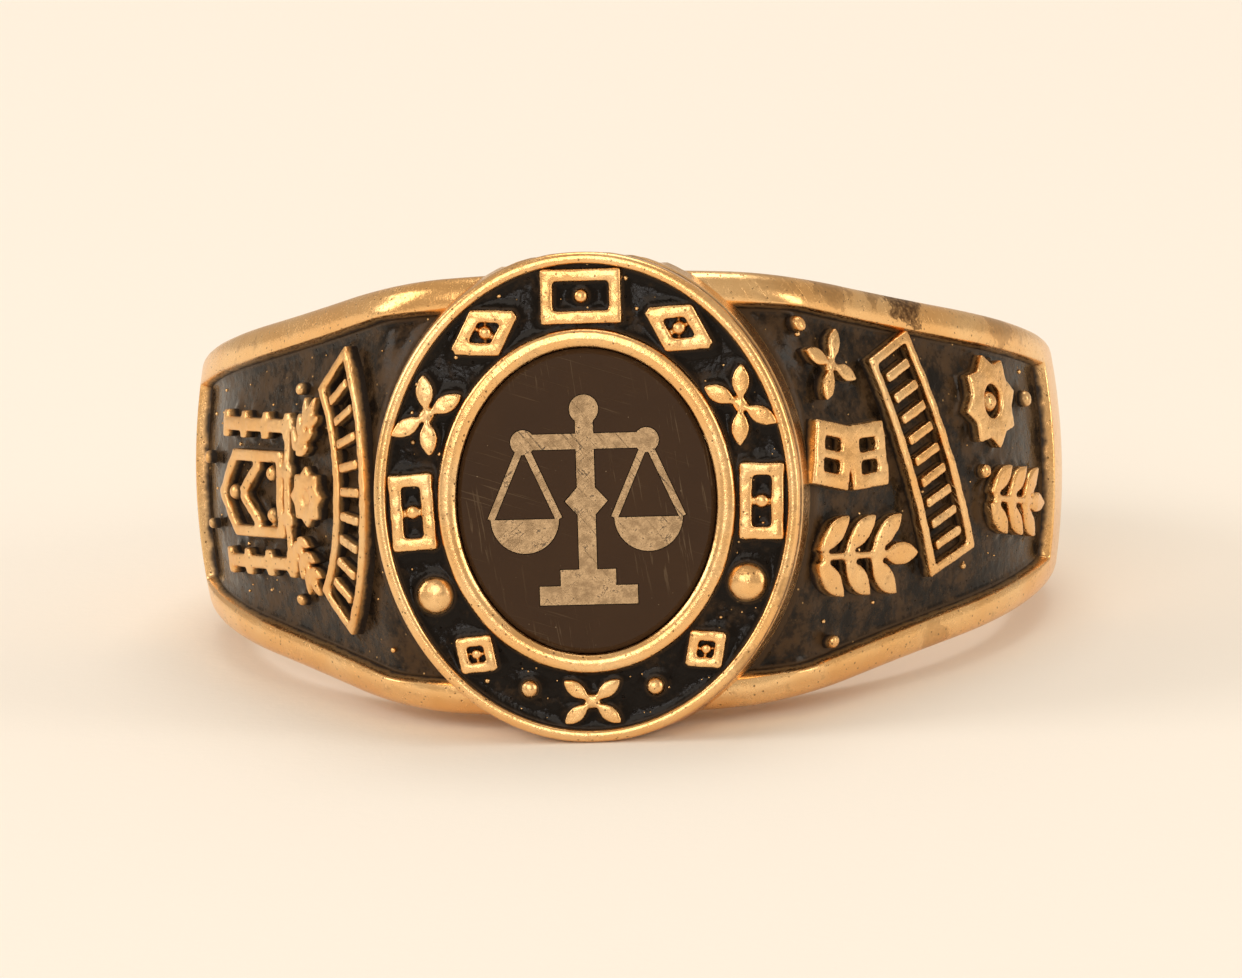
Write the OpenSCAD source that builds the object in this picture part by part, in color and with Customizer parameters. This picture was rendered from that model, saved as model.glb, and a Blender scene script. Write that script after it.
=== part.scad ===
/* [Finger] */
// Radius of the hole for the finger
bore_r = 9.1; // [8.9:0.1:9.3]
// Thickness of the metal at the back of the band
band_t = 1.5; // [1.4:0.05:1.6]

/* [Band] */
// Half width of the band at its back
back_w = 1.95; // [1.85:0.05:2.1]
// Half width of the band beside the finger
side_w = 2.95; // [2.85:0.05:3.05]
// Radius of the curve across the outside of the band
crown_r = 16; // [15:1:18]
// Distance of the shoulder's crest from the middle of the head
crest_x = 5.3; // [5.25:0.05:5.4]
// Height of the shoulder's crest above the axis of the finger
crest_h = 10.9; // [10.8:0.05:11]
// Height of the bridge under the head above the axis of the finger
bridge_h = 11.9; // [11.7:0.1:12]
// Width of the gold rim on each edge of a shoulder
rim_w = 0.85; // [0.75:0.05:0.9]
// Depth of the shoulder panels below the rims
panel_d = 0.5; // [0.4:0.05:0.6]
// Turn round the finger from the middle of the head to the end of a panel
panel_turn = 82; // [82:1:90]

/* [Head] */
// Height of the face of the head above the axis of the finger
head_h = 12.4; // [12.3:0.1:12.6]
// Half width of the oval head across the finger
head_a = 5; // [4.9:0.05:5.1]
// Half length of the oval head along the finger
head_b = 5.75; // [5.65:0.05:5.85]
// Growth of the head's half width from its lip down to the shoulders
head_flare = 0.28; // [0.2:0.02:0.34]
// Height of the straight lip round the head
lip_h = 0.6; // [0.5:0.05:0.7]
// Thickness of the lip
lip_t = 0.29; // [0.25:0.01:0.33]
// Depth of the black field below the lip
field_d = 0.5; // [0.4:0.05:0.6]
// Distance that the head stands out from the side faces of the shoulders
head_step = 0.13; // [0.1:0.01:0.16]

/* [Stone] */
// Half width of the opening that holds the stone
window_a = 3.05; // [2.95:0.05:3.1]
// Half length of the opening that holds the stone
window_b = 3.59; // [3.5:0.05:3.65]
// Thickness of the bezel round the stone
bezel_t = 0.44; // [0.4:0.02:0.48]
// Height of the bezel above the lip
bezel_rise = 0.06; // [0.02:0.02:0.1]
// Distance of the bezel's centre below the centre of the head
bezel_drop = 0.08; // [0:0.02:0.12]
// Thickness of the stone
stone_t = 1.3; // [1.1:0.1:1.5]
// Depth of the stone's table below the top of the bezel
stone_sink = 0.14; // [0.1:0.02:0.2]
// Size of the bevel round the stone's table
stone_bevel = 0.1; // [0.06:0.02:0.14]

/* [Hidden] */
$fn = 96;
gap = 0.02;
enamel_t = 0.13;
inlay_t = 0.15;
inlay_proud = 0.01;
over = 0.5;
root_d = 1.2;
reach = 8;
far = 30;
band_r = bore_r + band_t;

// Flat of each shoulder: it leaves the crest and touches the round band
crest_r = norm([crest_x, crest_h]);
flat_turn = atan2(crest_x, crest_h) + acos(band_r / crest_r);
flat_l = sqrt(crest_r * crest_r - band_r * band_r);
bridge_rise = bridge_h - crest_h;
bridge_r = (crest_x * crest_x + bridge_rise * bridge_rise) / (2 * bridge_rise);
panel_l = panel_turn - flat_turn;

// Centre of the circle through three points
function circle_centre(p, q, s) =
    let (d = 2 * (p[0] * (q[1] - s[1]) + q[0] * (s[1] - p[1]) + s[0] * (p[1] - q[1])))
    [
        ((p * p) * (q[1] - s[1]) + (q * q) * (s[1] - p[1]) + (s * s) * (p[1] - q[1])) / d,
        ((p * p) * (s[0] - q[0]) + (q * q) * (p[0] - s[0]) + (s * s) * (q[0] - p[0])) / d
    ];

// Side faces: one arc past the lip of the head, the side and the back of the band
lip_y = head_h - lip_h / 2;
side_c = circle_centre([-lip_y, head_b - head_step], [0, side_w], [band_r, back_w]);
side_r = norm(side_c - [0, side_w]);

// Rest: the ring lies on the foot of its head and the lower edge of its back
back_y = band_r - crown_r + sqrt(crown_r * crown_r - back_w * back_w);
tilt = atan((head_b - back_w) / (lip_y + back_y));
low_z = lip_y * sin(tilt) - head_b * cos(tilt);
front_y = -head_h * cos(tilt) - head_b * sin(tilt);
rear_y = back_y * cos(tilt) + back_w * sin(tilt);

// Levels and ovals of the head
tower_h = head_h - bore_r + 2 * gap;
floor_h = head_h - field_d;
seat_h = head_h + bezel_rise - stone_sink - stone_t;
table_h = seat_h + stone_t;
bezel_a = window_a + bezel_t;
bezel_b = window_b + bezel_t;
field_a = head_a - lip_t;
field_b = head_b - lip_t;

// Kinds of ornament
BLOCK = 0;
LOZENGE = 1;
BLOOM = 2;
PEARL = 3;
SPRIG = 4;
STAR = 5;
BOOK = 6;
SHIELD = 7;
COLUMN = 8;
pip = 0.36;
petal_part = 0.48;
leaf_part = 0.42;
head_line = 0.3;

// Head: kind, turn from the top, width, height
head_marks = [
    [BLOCK, -93, 1.8, 1.04],
    [BLOOM, -61, 1.75, 1.1],
    [LOZENGE, -30, 2, 1.28],
    [BLOCK, 0, 1.9, 1.28],
    [LOZENGE, 30, 2, 1.28],
    [BLOOM, 60, 1.75, 1.1],
    [BLOCK, 92, 1.8, 1.04],
    [PEARL, -121, 0.92, 0.92],
    [PEARL, 119, 0.96, 0.96],
    [LOZENGE, -143, 1.3, 1.16],
    [BLOOM, 180, 1.45, 1.1],
    [LOZENGE, 143, 1.3, 1.16],
    [PEARL, -161.5, 0.46, 0.46],
    [PEARL, 161.5, 0.46, 0.46]
];

// Right shoulder: kind, way from the crest, height, length, width, line, spin
right_marks = [
    [BLOOM, 1.1, 2.85, 1.4, 1.4, 0.3, 20],
    [BOOK, 1.4, 0.7, 2.7, 1.8, 0.36, -4],
    [SPRIG, 2, -1.7, 4, 2.2, 0.3, -2],
    [STAR, 7.1, 1.65, 2.3, 2.3, 0.4, 10],
    [SPRIG, 8.3, -0.8, 3.3, 1.9, 0.3, -6],
    [PEARL, 0.3, 3.85, 0.4, 0.4, 0.3, 0],
    [PEARL, 1.2, -3.7, 0.34, 0.34, 0.3, 0],
    [PEARL, 4.2, 3.8, 0.3, 0.3, 0.3, 0],
    [PEARL, 9.2, 1.6, 0.42, 0.42, 0.3, 0],
    [PEARL, 6.7, 0, 0.36, 0.36, 0.3, 0]
];

// Left shoulder: kind, way from the crest, height, length, width, line, spin
left_marks = [
    [STAR, 3.1, -0.05, 1.5, 1.5, 0.3, 0],
    [SHIELD, 5.95, -0.05, 3.4, 2.1, 0.28, 0],
    [COLUMN, 5.7, 1.6, 3.5, 0.66, 0.28, 0],
    [COLUMN, 5.7, -1.7, 3.5, 0.66, 0.28, 0],
    [PEARL, 3.2, 2.4, 0.32, 0.32, 0.3, 0],
    [PEARL, 3.7, -2.5, 0.3, 0.3, 0.3, 0],
    [PEARL, 9.1, 0.7, 0.34, 0.34, 0.3, 0],
    [PEARL, 8.9, -0.9, 0.28, 0.28, 0.3, 0]
];

// Ribbons: points of the middle line as way from the crest and height
right_ribbon = [[3.3, 3.2], [5.35, -2.1]];
right_ribbon_w = 1.75;
left_ribbon = [[1.95, 2.8], [0.95, 0], [2.35, -2.95]];
left_ribbon_w = 1.5;
hem_w = 0.24;
rung_w = 0.24;
rung_part = 0.55;
rungs = 10;

// The ring rests with its middle plane leaning and its lowest points on z = 0
module resting() {
    translate([0, -(front_y + rear_y) / 2, -low_z]) rotate([-tilt, 0, 0]) children();
}

// Prism on a level of the head, drawn flat with +X to the right and +Y up the finger
module on_head(level, height) {
    translate([0, -level, 0]) rotate([90, 0, 0]) linear_extrude(height = height) children();
}

module oval(a, b) {
    scale([1, b / a]) circle(r = a);
}

module bezel_oval(a, b) {
    translate([0, -bezel_drop]) oval(a, b);
}

// Prism through a shoulder's surface, drawn flat with +X away from the head and +Y up the finger
module on_shoulder(way, height, spin) {
    turn = flat_turn + max(0, way - flat_l) / band_r * 180 / PI;
    rotate([0, 0, turn - 90]) translate([band_r - root_d, min(0, way - flat_l), height])
        rotate([90, 0, 90]) rotate([0, 0, spin]) linear_extrude(height = root_d + 2 * over) children();
}

// Ornaments are flat outlines, and grow widens them so that the enamel clears the metal
module pearl(size, grow) {
    circle(d = size + 2 * grow, $fn = 32);
}

module bar(length, width, grow) {
    square([length + 2 * grow, width + 2 * grow], center = true);
}

module rhomb(length, width) {
    polygon([[length / 2, 0], [0, width / 2], [-length / 2, 0], [0, -width / 2]]);
}

module leaf(length, width, grow) {
    leaf_r = (length * length + width * width) / (4 * width);
    intersection_for (side = [-1, 1])
        translate([0, side * (leaf_r - width / 2)]) circle(r = leaf_r + grow, $fn = 64);
}

module block(length, width, line, grow) {
    difference() {
        bar(length, width, grow);
        bar(length - 2 * line, width - 2 * line, -grow);
    }
    pearl(pip, grow);
    for (x = [-1, 1], y = [-1, 1])
        translate([x * (length - line) / 2, y * (width - line) / 2]) pearl(1.3 * line, grow);
}

module lozenge(length, width, line, grow) {
    slant = 2 * norm([length, width]) / (length * width);
    difference() {
        rhomb(length * (1 + grow * slant), width * (1 + grow * slant));
        rhomb(length * (1 - (line + grow) * slant), width * (1 - (line + grow) * slant));
    }
    pearl(pip * width / 1.3, grow);
}

module bloom(length, width, grow) {
    petal = norm([length, width]) / 2 - pip / 2;
    for (x = [-1, 1], y = [-1, 1])
        rotate(atan2(y * width, x * length)) translate([petal / 2 + pip / 3, 0])
            leaf(petal, petal_part * petal, grow);
    pearl(pip, grow);
}

module star(size, line, grow) {
    difference() {
        for (spin = [0, 45]) rotate(spin) bar(0.72 * size, 0.72 * size, grow);
        circle(d = 0.72 * size - 2 * line - 2 * grow, $fn = 32);
    }
    pearl(0.24 * size, grow);
}

module sprig(length, width, grow) {
    pairs = 3;
    pitch = length / (pairs + 1);
    leaf_l = 0.62 * width;
    bar(length - leaf_l / 2, pip / 2, grow);
    for (i = [0 : pairs - 1], side = [-1, 1])
        translate([(i - 0.75) * pitch - length / 8, side * width / 4]) rotate(side * 38)
            leaf(leaf_l, leaf_part * leaf_l, grow);
    translate([(length - leaf_l) / 2, 0]) leaf(leaf_l, leaf_part * leaf_l, grow);
}

module book(length, width, line, grow) {
    page = length / 2;
    for (side = [-1, 1]) translate([side * page / 2, 0]) rotate(side * 7) {
        difference() {
            bar(page, 0.86 * width, grow);
            bar(page - 2 * line, 0.86 * width - 2 * line, -grow);
        }
        bar(page - line, 0.6 * line, grow);
    }
}

module shield(length, width, line, grow) {
    difference() {
        shield_outline(length + 2 * grow, width + 2 * grow);
        shield_outline(length - 2 * line - 2 * grow, width - 2 * line - 2 * grow);
    }
    for (side = [-1, 1])
        translate([-0.02 * length, side * 0.17 * width]) rotate(side * -40) bar(0.34 * length, line, grow);
    for (spot = [[-0.3, -0.24], [-0.3, 0.24], [0.28, 0]])
        translate([spot[0] * length, spot[1] * width]) pearl(0.4, grow);
}

module shield_outline(length, width) {
    polygon([
        [-length / 2, -width / 2], [0.22 * length, -width / 2], [length / 2, 0],
        [0.22 * length, width / 2], [-length / 2, width / 2]
    ]);
}

module column(length, width, line, grow) {
    bar(length, 0.5 * width, grow);
    for (x = [-0.5, -0.17, 0.17, 0.5]) translate([x * (length - line), 0]) bar(line, width, grow);
}

module ornament(kind, length, width, line, grow) {
    if (kind == BLOCK) block(length, width, line, grow);
    if (kind == LOZENGE) lozenge(length, width, line, grow);
    if (kind == BLOOM) bloom(length, width, grow);
    if (kind == PEARL) pearl(length, grow);
    if (kind == SPRIG) sprig(length, width, grow);
    if (kind == STAR) star(length, line, grow);
    if (kind == BOOK) book(length, width, line, grow);
    if (kind == SHIELD) shield(length, width, line, grow);
    if (kind == COLUMN) column(length, width, line, grow);
}

module shoulder_marks(marks, grow) {
    for (m = marks) on_shoulder(m[1], m[2], m[6]) ornament(m[0], m[3], m[4], m[5], grow);
}

// Straight ribbon with two hems and short bars between them, drawn about its own centre
module straight_ribbon(length, width, grow) {
    for (side = [-1, 1]) translate([0, side * (width - hem_w) / 2]) bar(length, hem_w, grow);
    for (i = [0 : rungs]) translate([(i / rungs - 0.5) * (length - rung_w), 0])
        bar(rung_w, rung_part * width, grow);
}

// Bent ribbon: rings of a circle whose centre is the origin, with bars between them
module bent_ribbon(radius, half_turn, width, grow) {
    intersection() {
        for (edge = [-1, 1]) difference() {
            circle(r = radius + (edge * (width - hem_w) + hem_w) / 2 + grow, $fn = 180);
            circle(r = radius + (edge * (width - hem_w) - hem_w) / 2 - grow, $fn = 180);
        }
        polygon([[0, 0], for (s = [-1, 1]) 2 * radius * [cos(half_turn), s * sin(half_turn)]]);
    }
    for (i = [0 : rungs]) rotate((2 * i / rungs - 1) * (half_turn - 1)) translate([radius, 0])
        bar(rung_part * width, rung_w, grow);
}

module head_relief(grow) {
    for (m = head_marks) {
        lip = field_a * field_b / norm([field_b * sin(m[1]), field_a * cos(m[1])]);
        bezel = bezel_a * bezel_b / norm([bezel_b * sin(m[1]), bezel_a * cos(m[1])]);
        translate((lip + bezel) / 2 * [sin(m[1]), cos(m[1])] - [0, bezel_drop / 2]) rotate(-m[1])
            ornament(m[0], m[2], m[3], head_line, grow);
    }
}

module right_relief(grow) {
    line = right_ribbon[1] - right_ribbon[0];
    middle = (right_ribbon[0] + right_ribbon[1]) / 2;
    shoulder_marks(right_marks, grow);
    on_shoulder(middle[0], middle[1], atan2(line[1], line[0]))
        straight_ribbon(norm(line), right_ribbon_w, grow);
}

module left_relief(grow) {
    centre = circle_centre(left_ribbon[0], left_ribbon[1], left_ribbon[2]);
    radius = norm(left_ribbon[1] - centre);
    half_turn = asin(norm(left_ribbon[2] - left_ribbon[0]) / 2 / radius);
    mirror([1, 0, 0]) {
        shoulder_marks(left_marks, grow);
        on_shoulder(centre[0], centre[1], 180) bent_ribbon(radius, half_turn, left_ribbon_w, grow);
    }
}

module crown_section(radius, out, core) {
    intersection() {
        translate([core, -reach]) square([far, 2 * reach]);
        translate([radius - crown_r, 0]) circle(r = crown_r + out, $fn = 360);
    }
}

// Half space under the flat of the right shoulder, from where it touches the band to the head
module flat_slab(out) {
    rotate([0, 0, flat_turn - 90]) rotate([90, 0, 0]) linear_extrude(height = far)
        crown_section(band_r, out, -bore_r);
}

// Outer form of the head's end of the band, between the places where the flats touch it
module front_form(out) {
    intersection() {
        flat_slab(out);
        mirror([1, 0, 0]) flat_slab(out);
        translate([0, bridge_r - bridge_h, 0]) rotate_extrude(start = 0) crown_section(bridge_r, out, 0);
    }
}

module round_form(out, from, turn) {
    rotate_extrude(angle = turn, start = from - 90) crown_section(band_r, out, band_r / 2);
}

// What lies outside the side faces, kept in by a margin
module beyond_sides(margin) {
    for (up = [-1, 1]) translate([-far / 2, side_c[0], up * side_c[1]]) rotate([0, 90, 0])
        cylinder(h = far, r = side_r + margin, $fn = 360);
}

module finger_hole() {
    translate([0, 0, -far / 2]) cylinder(h = far, r = bore_r);
}

module band_form(out) {
    front_form(out);
    round_form(out, flat_turn, 360 - 2 * flat_turn);
}

// Room over both shoulders between their rims, from one end of the panels to the other
module panel_room() {
    end = far * [sin(panel_turn), -cos(panel_turn)];
    difference() {
        translate([0, 0, -reach]) linear_extrude(height = 2 * reach)
            polygon([[0, 0], [-end[0], end[1]], [-far, -far], [far, -far], end]);
        beyond_sides(rim_w);
    }
}

// Thin layer on the floors of both panels
module enamel_layer() {
    outer = gap + enamel_t - panel_d;
    inner = gap - panel_d;
    difference() {
        union() {
            difference() {
                front_form(outer);
                front_form(inner);
            }
            for (from = [flat_turn, gap - panel_turn]) difference() {
                round_form(outer, from, panel_l - gap);
                round_form(inner, from, panel_l - gap);
            }
        }
        beyond_sides(rim_w + gap);
    }
}

module head_oval(grow) {
    long = (head_b + grow) / (head_a + grow);
    translate([0, tower_h - head_h, 0]) rotate([90, 0, 0]) scale([1, long, 1]) {
        cylinder(h = tower_h, r = head_a + grow);
        cylinder(h = tower_h - lip_h, r1 = head_a + head_flare + grow, r2 = head_a + grow);
    }
}

module ring_casting() {
    color("goldenrod") difference() {
        union() {
            difference() {
                band_form(0);
                beyond_sides(0);
                difference() {
                    panel_room();
                    right_relief(0);
                    left_relief(0);
                }
            }
            difference() {
                band_form(-panel_d);
                beyond_sides(rim_w / 2);
            }
            difference() {
                head_oval(0);
                beyond_sides(-head_step);
                on_head(floor_h, far) oval(field_a, field_b);
            }
            on_head(floor_h - over, field_d + over) head_relief(0);
            on_head(floor_h - over, field_d + over + bezel_rise) bezel_oval(bezel_a, bezel_b);
        }
        on_head(seat_h, far) bezel_oval(window_a, window_b);
        finger_hole();
    }
}

// Black onyx tablet with a flat table and a narrow bevel
module stone() {
    a = window_a - gap;
    b = window_b - gap;
    color("#1c1613") difference() {
        union() {
            on_head(seat_h, stone_t - stone_bevel) bezel_oval(a, b);
            translate([0, -table_h + stone_bevel, -bezel_drop]) rotate([90, 0, 0]) scale([1, b / a, 1])
                cylinder(h = stone_bevel, r1 = a, r2 = a - stone_bevel);
        }
        on_head(table_h - inlay_t, far) scales_emblem(gap);
    }
}

// Balance with two pans on a stepped foot, drawn about the centre of the stone
module scales_emblem(grow) {
    pan_x = 1.45;
    pan_y = -0.4;
    pan_r = 0.8;
    beam_y = 1.4;
    translate([0, -bezel_drop]) {
        translate([0, -2.2]) bar(2.3, 0.44, grow);
        translate([0, -1.8]) bar(1.3, 0.4, grow);
        bar(0.42, 3.9, grow);
        translate([0, 2.15]) pearl(0.68, grow);
        rhomb(1 + 3 * grow, 1.1 + 3 * grow);
        translate([0, beam_y]) bar(2 * pan_x + 0.4, 0.36, grow);
        for (side = [-1, 1]) translate([side * pan_x, 0]) {
            translate([0, beam_y]) pearl(0.58, grow);
            for (lean = [-1, 1]) translate([lean * pan_r / 2, (beam_y + pan_y) / 2])
                rotate(atan2(beam_y - pan_y, -lean * pan_r)) bar(norm([pan_r, beam_y - pan_y]), 0.16, grow);
            intersection() {
                translate([0, pan_y]) pearl(2 * pan_r, grow);
                translate([0, pan_y - pan_r / 2 - grow]) square(2 * pan_r + 4 * grow, center = true);
                translate([0, pan_y - pan_r / 2]) bar(2 * pan_r, pan_r, grow);
            }
        }
    }
}

module stone_inlay() {
    color("tan") on_head(table_h - inlay_t, inlay_t + inlay_proud) scales_emblem(0);
}

module head_enamel() {
    color("#15110f") on_head(floor_h, enamel_t) difference() {
        oval(field_a - gap, field_b - gap);
        bezel_oval(bezel_a + gap, bezel_b + gap);
        head_relief(gap);
    }
}

module shoulder_enamel(side) {
    intersection() {
        difference() {
            enamel_layer();
            head_oval(gap);
            children();
        }
        translate([side * far / 2, 0, 0]) cube(far - 2 * gap, center = true);
    }
}

module left_enamel() {
    color("#15110f") shoulder_enamel(-1) left_relief(gap);
}

module right_enamel() {
    color("#15110f") shoulder_enamel(1) right_relief(gap);
}

resting() ring_casting();
resting() stone();
resting() stone_inlay();
resting() head_enamel();
resting() left_enamel();
resting() right_enamel();
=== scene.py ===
"""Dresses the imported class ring: worn cast gold, black enamel, an onyx tablet and a plain pale studio."""

import logging
import math
import random
from dataclasses import dataclass, field
from enum import Enum
from typing import Any, Callable, Iterable, Sequence

import bmesh
import bpy
from mathutils import Matrix, Vector, noise
from mathutils.bvhtree import BVHTree


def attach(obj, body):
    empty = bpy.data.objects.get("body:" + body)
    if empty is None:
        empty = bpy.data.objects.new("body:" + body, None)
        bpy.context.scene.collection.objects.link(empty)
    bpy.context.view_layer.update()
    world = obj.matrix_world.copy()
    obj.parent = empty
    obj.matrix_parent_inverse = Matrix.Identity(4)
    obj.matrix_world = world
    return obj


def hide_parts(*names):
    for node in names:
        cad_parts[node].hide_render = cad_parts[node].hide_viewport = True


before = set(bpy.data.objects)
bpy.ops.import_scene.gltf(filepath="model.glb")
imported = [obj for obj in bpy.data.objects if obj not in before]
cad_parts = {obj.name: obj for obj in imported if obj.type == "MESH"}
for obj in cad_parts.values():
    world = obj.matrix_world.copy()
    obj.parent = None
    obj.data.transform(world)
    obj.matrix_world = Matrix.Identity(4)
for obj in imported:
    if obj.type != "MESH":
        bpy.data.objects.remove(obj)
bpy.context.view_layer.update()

LOG = logging.getLogger("class_ring")
HOLLOW = "hollow"
MILLI = 0.001

BMesh = bmesh.types.BMesh
Layer = bmesh.types.BMLayerItem
Socket = bpy.types.NodeSocket
Colour = tuple[float, float, float, float]
Numbers = Sequence[float]
Place = Callable[[float], Vector]


class Side(Enum):
    """A shoulder of the ring, as the sign of X on its side of the head."""

    RIGHT = 1
    LEFT = -1


# Shapes that the pieces share


@dataclass(frozen=True)
class Rest:
    """How the ring lies; its own frame has the finger along Z and the head toward -Y, in millimetres."""

    lean: float = math.radians(9.552522)
    forward: float = 1.261638
    lift: float = 3.662255

    def matrix(self) -> Matrix:
        """Turns places in the ring's own frame into metres in the row frame."""
        lean = Matrix.Rotation(-self.lean, 4, "X")
        return Matrix.Scale(MILLI, 4) @ Matrix.Translation((0, self.forward, self.lift)) @ lean

    def direction(self, way: Vector) -> Vector:
        """A direction of the ring's own frame, in the row frame."""
        return Matrix.Rotation(-self.lean, 3, "X") @ way


def fade(value: float, start: float, end: float) -> float:
    """A smooth step from 0 at start to 1 at end.

    Args:
        value: The place to read.
        start: Where the step begins.
        end: Where it is complete; it may be less than start.

    Returns:
        A share from 0 to 1.
    """
    t = min(max((value - start) / (end - start), 0.0), 1.0)
    return t * t * (3 - 2 * t)


@dataclass(frozen=True)
class BandShape:
    """The outside of the band: a round back, two flats that rise to the crests, and a bridge under the head.

    Each crest is rounded by crest_soft, and by rim_crest_soft on the rims, which begin between the two
    heights of rim_z. A flat is followed until the cosine of the turn from its middle is least_cosine, and a
    place on a side face is worked out in side_rounds rounds.
    """

    bore_r: float = 9.1
    band_r: float = 10.6
    crown_r: float = 16.0
    crest_x: float = 5.3
    crest_h: float = 10.9
    bridge_h: float = 11.9
    panel_d: float = 0.5
    panel_turn: float = math.radians(82)
    side_y: float = 14.07882
    side_z: float = 95.50550
    side_r: float = 93.62015
    crest_soft: float = 0.22
    rim_crest_soft: float = 1.1
    rim_z: tuple[float, float] = (4.2, 4.9)
    least_cosine: float = 0.2
    side_rounds: int = 4

    @property
    def flat_turn(self) -> float:
        """The turn from the head at which the flat touches the round back."""
        crest = math.hypot(self.crest_x, self.crest_h)
        return math.atan2(self.crest_x, self.crest_h) + math.acos(self.band_r / crest)

    @property
    def flat_l(self) -> float:
        """Length of the flat, from its crest to where it touches the round back."""
        return math.sqrt(self.crest_x**2 + self.crest_h**2 - self.band_r**2)

    @property
    def bridge_r(self) -> float:
        """Radius of the bridge between the crests."""
        rise = self.bridge_h - self.crest_h
        return (self.crest_x**2 + rise**2) / (2 * rise)

    def half_height(self, y: float, margin: float = 0.0) -> float:
        """Half height of the band at a depth y, less a margin from its side face."""
        return self.side_z - math.sqrt((self.side_r + margin) ** 2 - (y - self.side_y) ** 2)

    def reach(self, radius: float, z: float, out: float) -> float:
        """Distance of the crowned surface from its centre, at a height z and moved out."""
        return radius - self.crown_r + math.sqrt((self.crown_r + out) ** 2 - z * z)

    def radius(self, turn: float, z: float, out: float) -> float:
        """Distance of the outside from the finger's axis.

        Args:
            turn: Turn from the head, in radians.
            z: Height along the finger, in millimetres.
            out: Distance that the surface is moved outward.

        Returns:
            The distance in millimetres.
        """
        back = self.reach(self.band_r, z, out)
        away = self.flat_turn - abs(turn)
        if away <= 0:
            return back
        flat = back / max(math.cos(away), self.least_cosine)
        drop = self.bridge_h - self.bridge_r
        along = drop * math.cos(turn)
        bridge = along + math.sqrt(along**2 - drop**2 + self.reach(self.bridge_r, z, out) ** 2)
        soft = self.crest_soft + (self.rim_crest_soft - self.crest_soft) * fade(abs(z), *self.rim_z)
        blend = max(soft - abs(flat - bridge), 0.0) / soft
        return min(flat, bridge) - blend**2 * soft / 4

    def outside(self, turn: float, z: float, out: float) -> Vector:
        """A point of the outside at that turn and height."""
        r = self.radius(turn, z, out)
        return Vector((r * math.sin(turn), -r * math.cos(turn), z))

    def along_side(self, turn: float, margin: float, out: float) -> Vector:
        """The point of the outside that lies a margin in from the upper side face.

        Args:
            turn: Turn from the head, in radians.
            margin: Distance from the side face.
            out: Distance that the surface is moved outward.

        Returns:
            The point, in the ring's own frame.
        """
        z = self.half_height(-self.band_r * math.cos(turn), margin)
        for _ in range(self.side_rounds):
            z = self.half_height(-self.radius(turn, z, out) * math.cos(turn), margin)
        return self.outside(turn, z, out)

    def way_of(self, turn: float, z: float) -> float:
        """Way along a shoulder from its crest.

        Args:
            turn: Turn from the head, in radians.
            z: Height along the finger.

        Returns:
            The way in millimetres.
        """
        if turn < self.flat_turn:
            return self.flat_l - self.reach(self.band_r, z, 0) * math.tan(self.flat_turn - turn)
        return self.flat_l + (turn - self.flat_turn) * self.band_r

    def on_shoulder(self, flat: Vector, side: Side) -> Vector:
        """Lays a point of a flat sketch on a shoulder.

        Args:
            flat: Way from the crest, height along the finger, and level above the outside.
            side: The shoulder.

        Returns:
            The point, in the ring's own frame.
        """
        way, z, level = flat
        turn = self.flat_turn + max(0.0, way - self.flat_l) / self.band_r
        out = Vector((math.sin(turn), -math.cos(turn), 0))
        ahead = Vector((math.cos(turn), math.sin(turn), 0))
        point = out * (self.reach(self.band_r, z, 0) + level) + ahead * min(0.0, way - self.flat_l)
        return Vector((side.value * point.x, point.y, z))


@dataclass(frozen=True)
class HeadShape:
    """The oval head: a lip round a sunk black field, and a bezel round the stone.

    Its face is a dome of radius dome_r, which fades out between the two levels of dome_levels.
    """

    top: float = 12.4
    lip_a: float = 5.0
    long: float = 0.75
    lip_t: float = 0.29
    lip_h: float = 0.6
    flare: float = 0.28
    field_d: float = 0.5
    step: float = 0.13
    window_a: float = 3.05
    bezel_t: float = 0.44
    bezel_long: float = 0.54
    bezel_rise: float = 0.06
    bezel_drop: float = 0.08
    seat: float = 11.02
    foot: float = 9.12
    dome_r: float = 110.0
    dome_levels: tuple[float, float] = (-1.5, -0.5)

    @property
    def field_a(self) -> float:
        """Half width of the black field."""
        return self.lip_a - self.lip_t

    @property
    def bezel_a(self) -> float:
        """Half width of the bezel's outside."""
        return self.window_a + self.bezel_t

    @property
    def floor(self) -> float:
        """Height of the field's floor."""
        return self.top - self.field_d

    def oval(self, r: float, angle: float) -> tuple[float, float]:
        """A point of the oval with a half width.

        Args:
            r: The half width.
            angle: The angle from X.

        Returns:
            X to the right and Y up the finger.
        """
        outer = min(max((r - self.bezel_a) / (self.field_a - self.bezel_a), 0.0), 1.0)
        inner = self.bezel_long * min(r / self.window_a, 1.0)
        long = inner + (self.long - inner) * outer
        drop = self.bezel_drop * (1 - outer)
        return r * math.cos(angle), (r + long) * math.sin(angle) - drop

    def face(self, x: float, z: float, level: float) -> Vector:
        """A point at a level above the slightly domed face."""
        dome = (x * x + z * z) / (2 * self.dome_r) * fade(level, *self.dome_levels)
        return Vector((x, dome - self.top - level, z))

    def mark_place(self, turn: float) -> tuple[float, float]:
        """The middle of the field.

        Args:
            turn: Turn clockwise from its top, in radians.

        Returns:
            X to the right and Y up the finger.
        """
        sine, cosine = math.sin(turn), math.cos(turn)

        def polar(a: float, b: float) -> float:
            """Distance of an ellipse from its centre."""
            return a * b / math.hypot(b * sine, a * cosine)

        middle = polar(self.field_a, self.field_a + self.long)
        middle += polar(self.bezel_a, self.bezel_a + self.bezel_long)
        return middle / 2 * sine, middle / 2 * cosine - self.bezel_drop / 2


REST = Rest()
BAND = BandShape()
HEAD = HeadShape()


# Shader graphs


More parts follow.
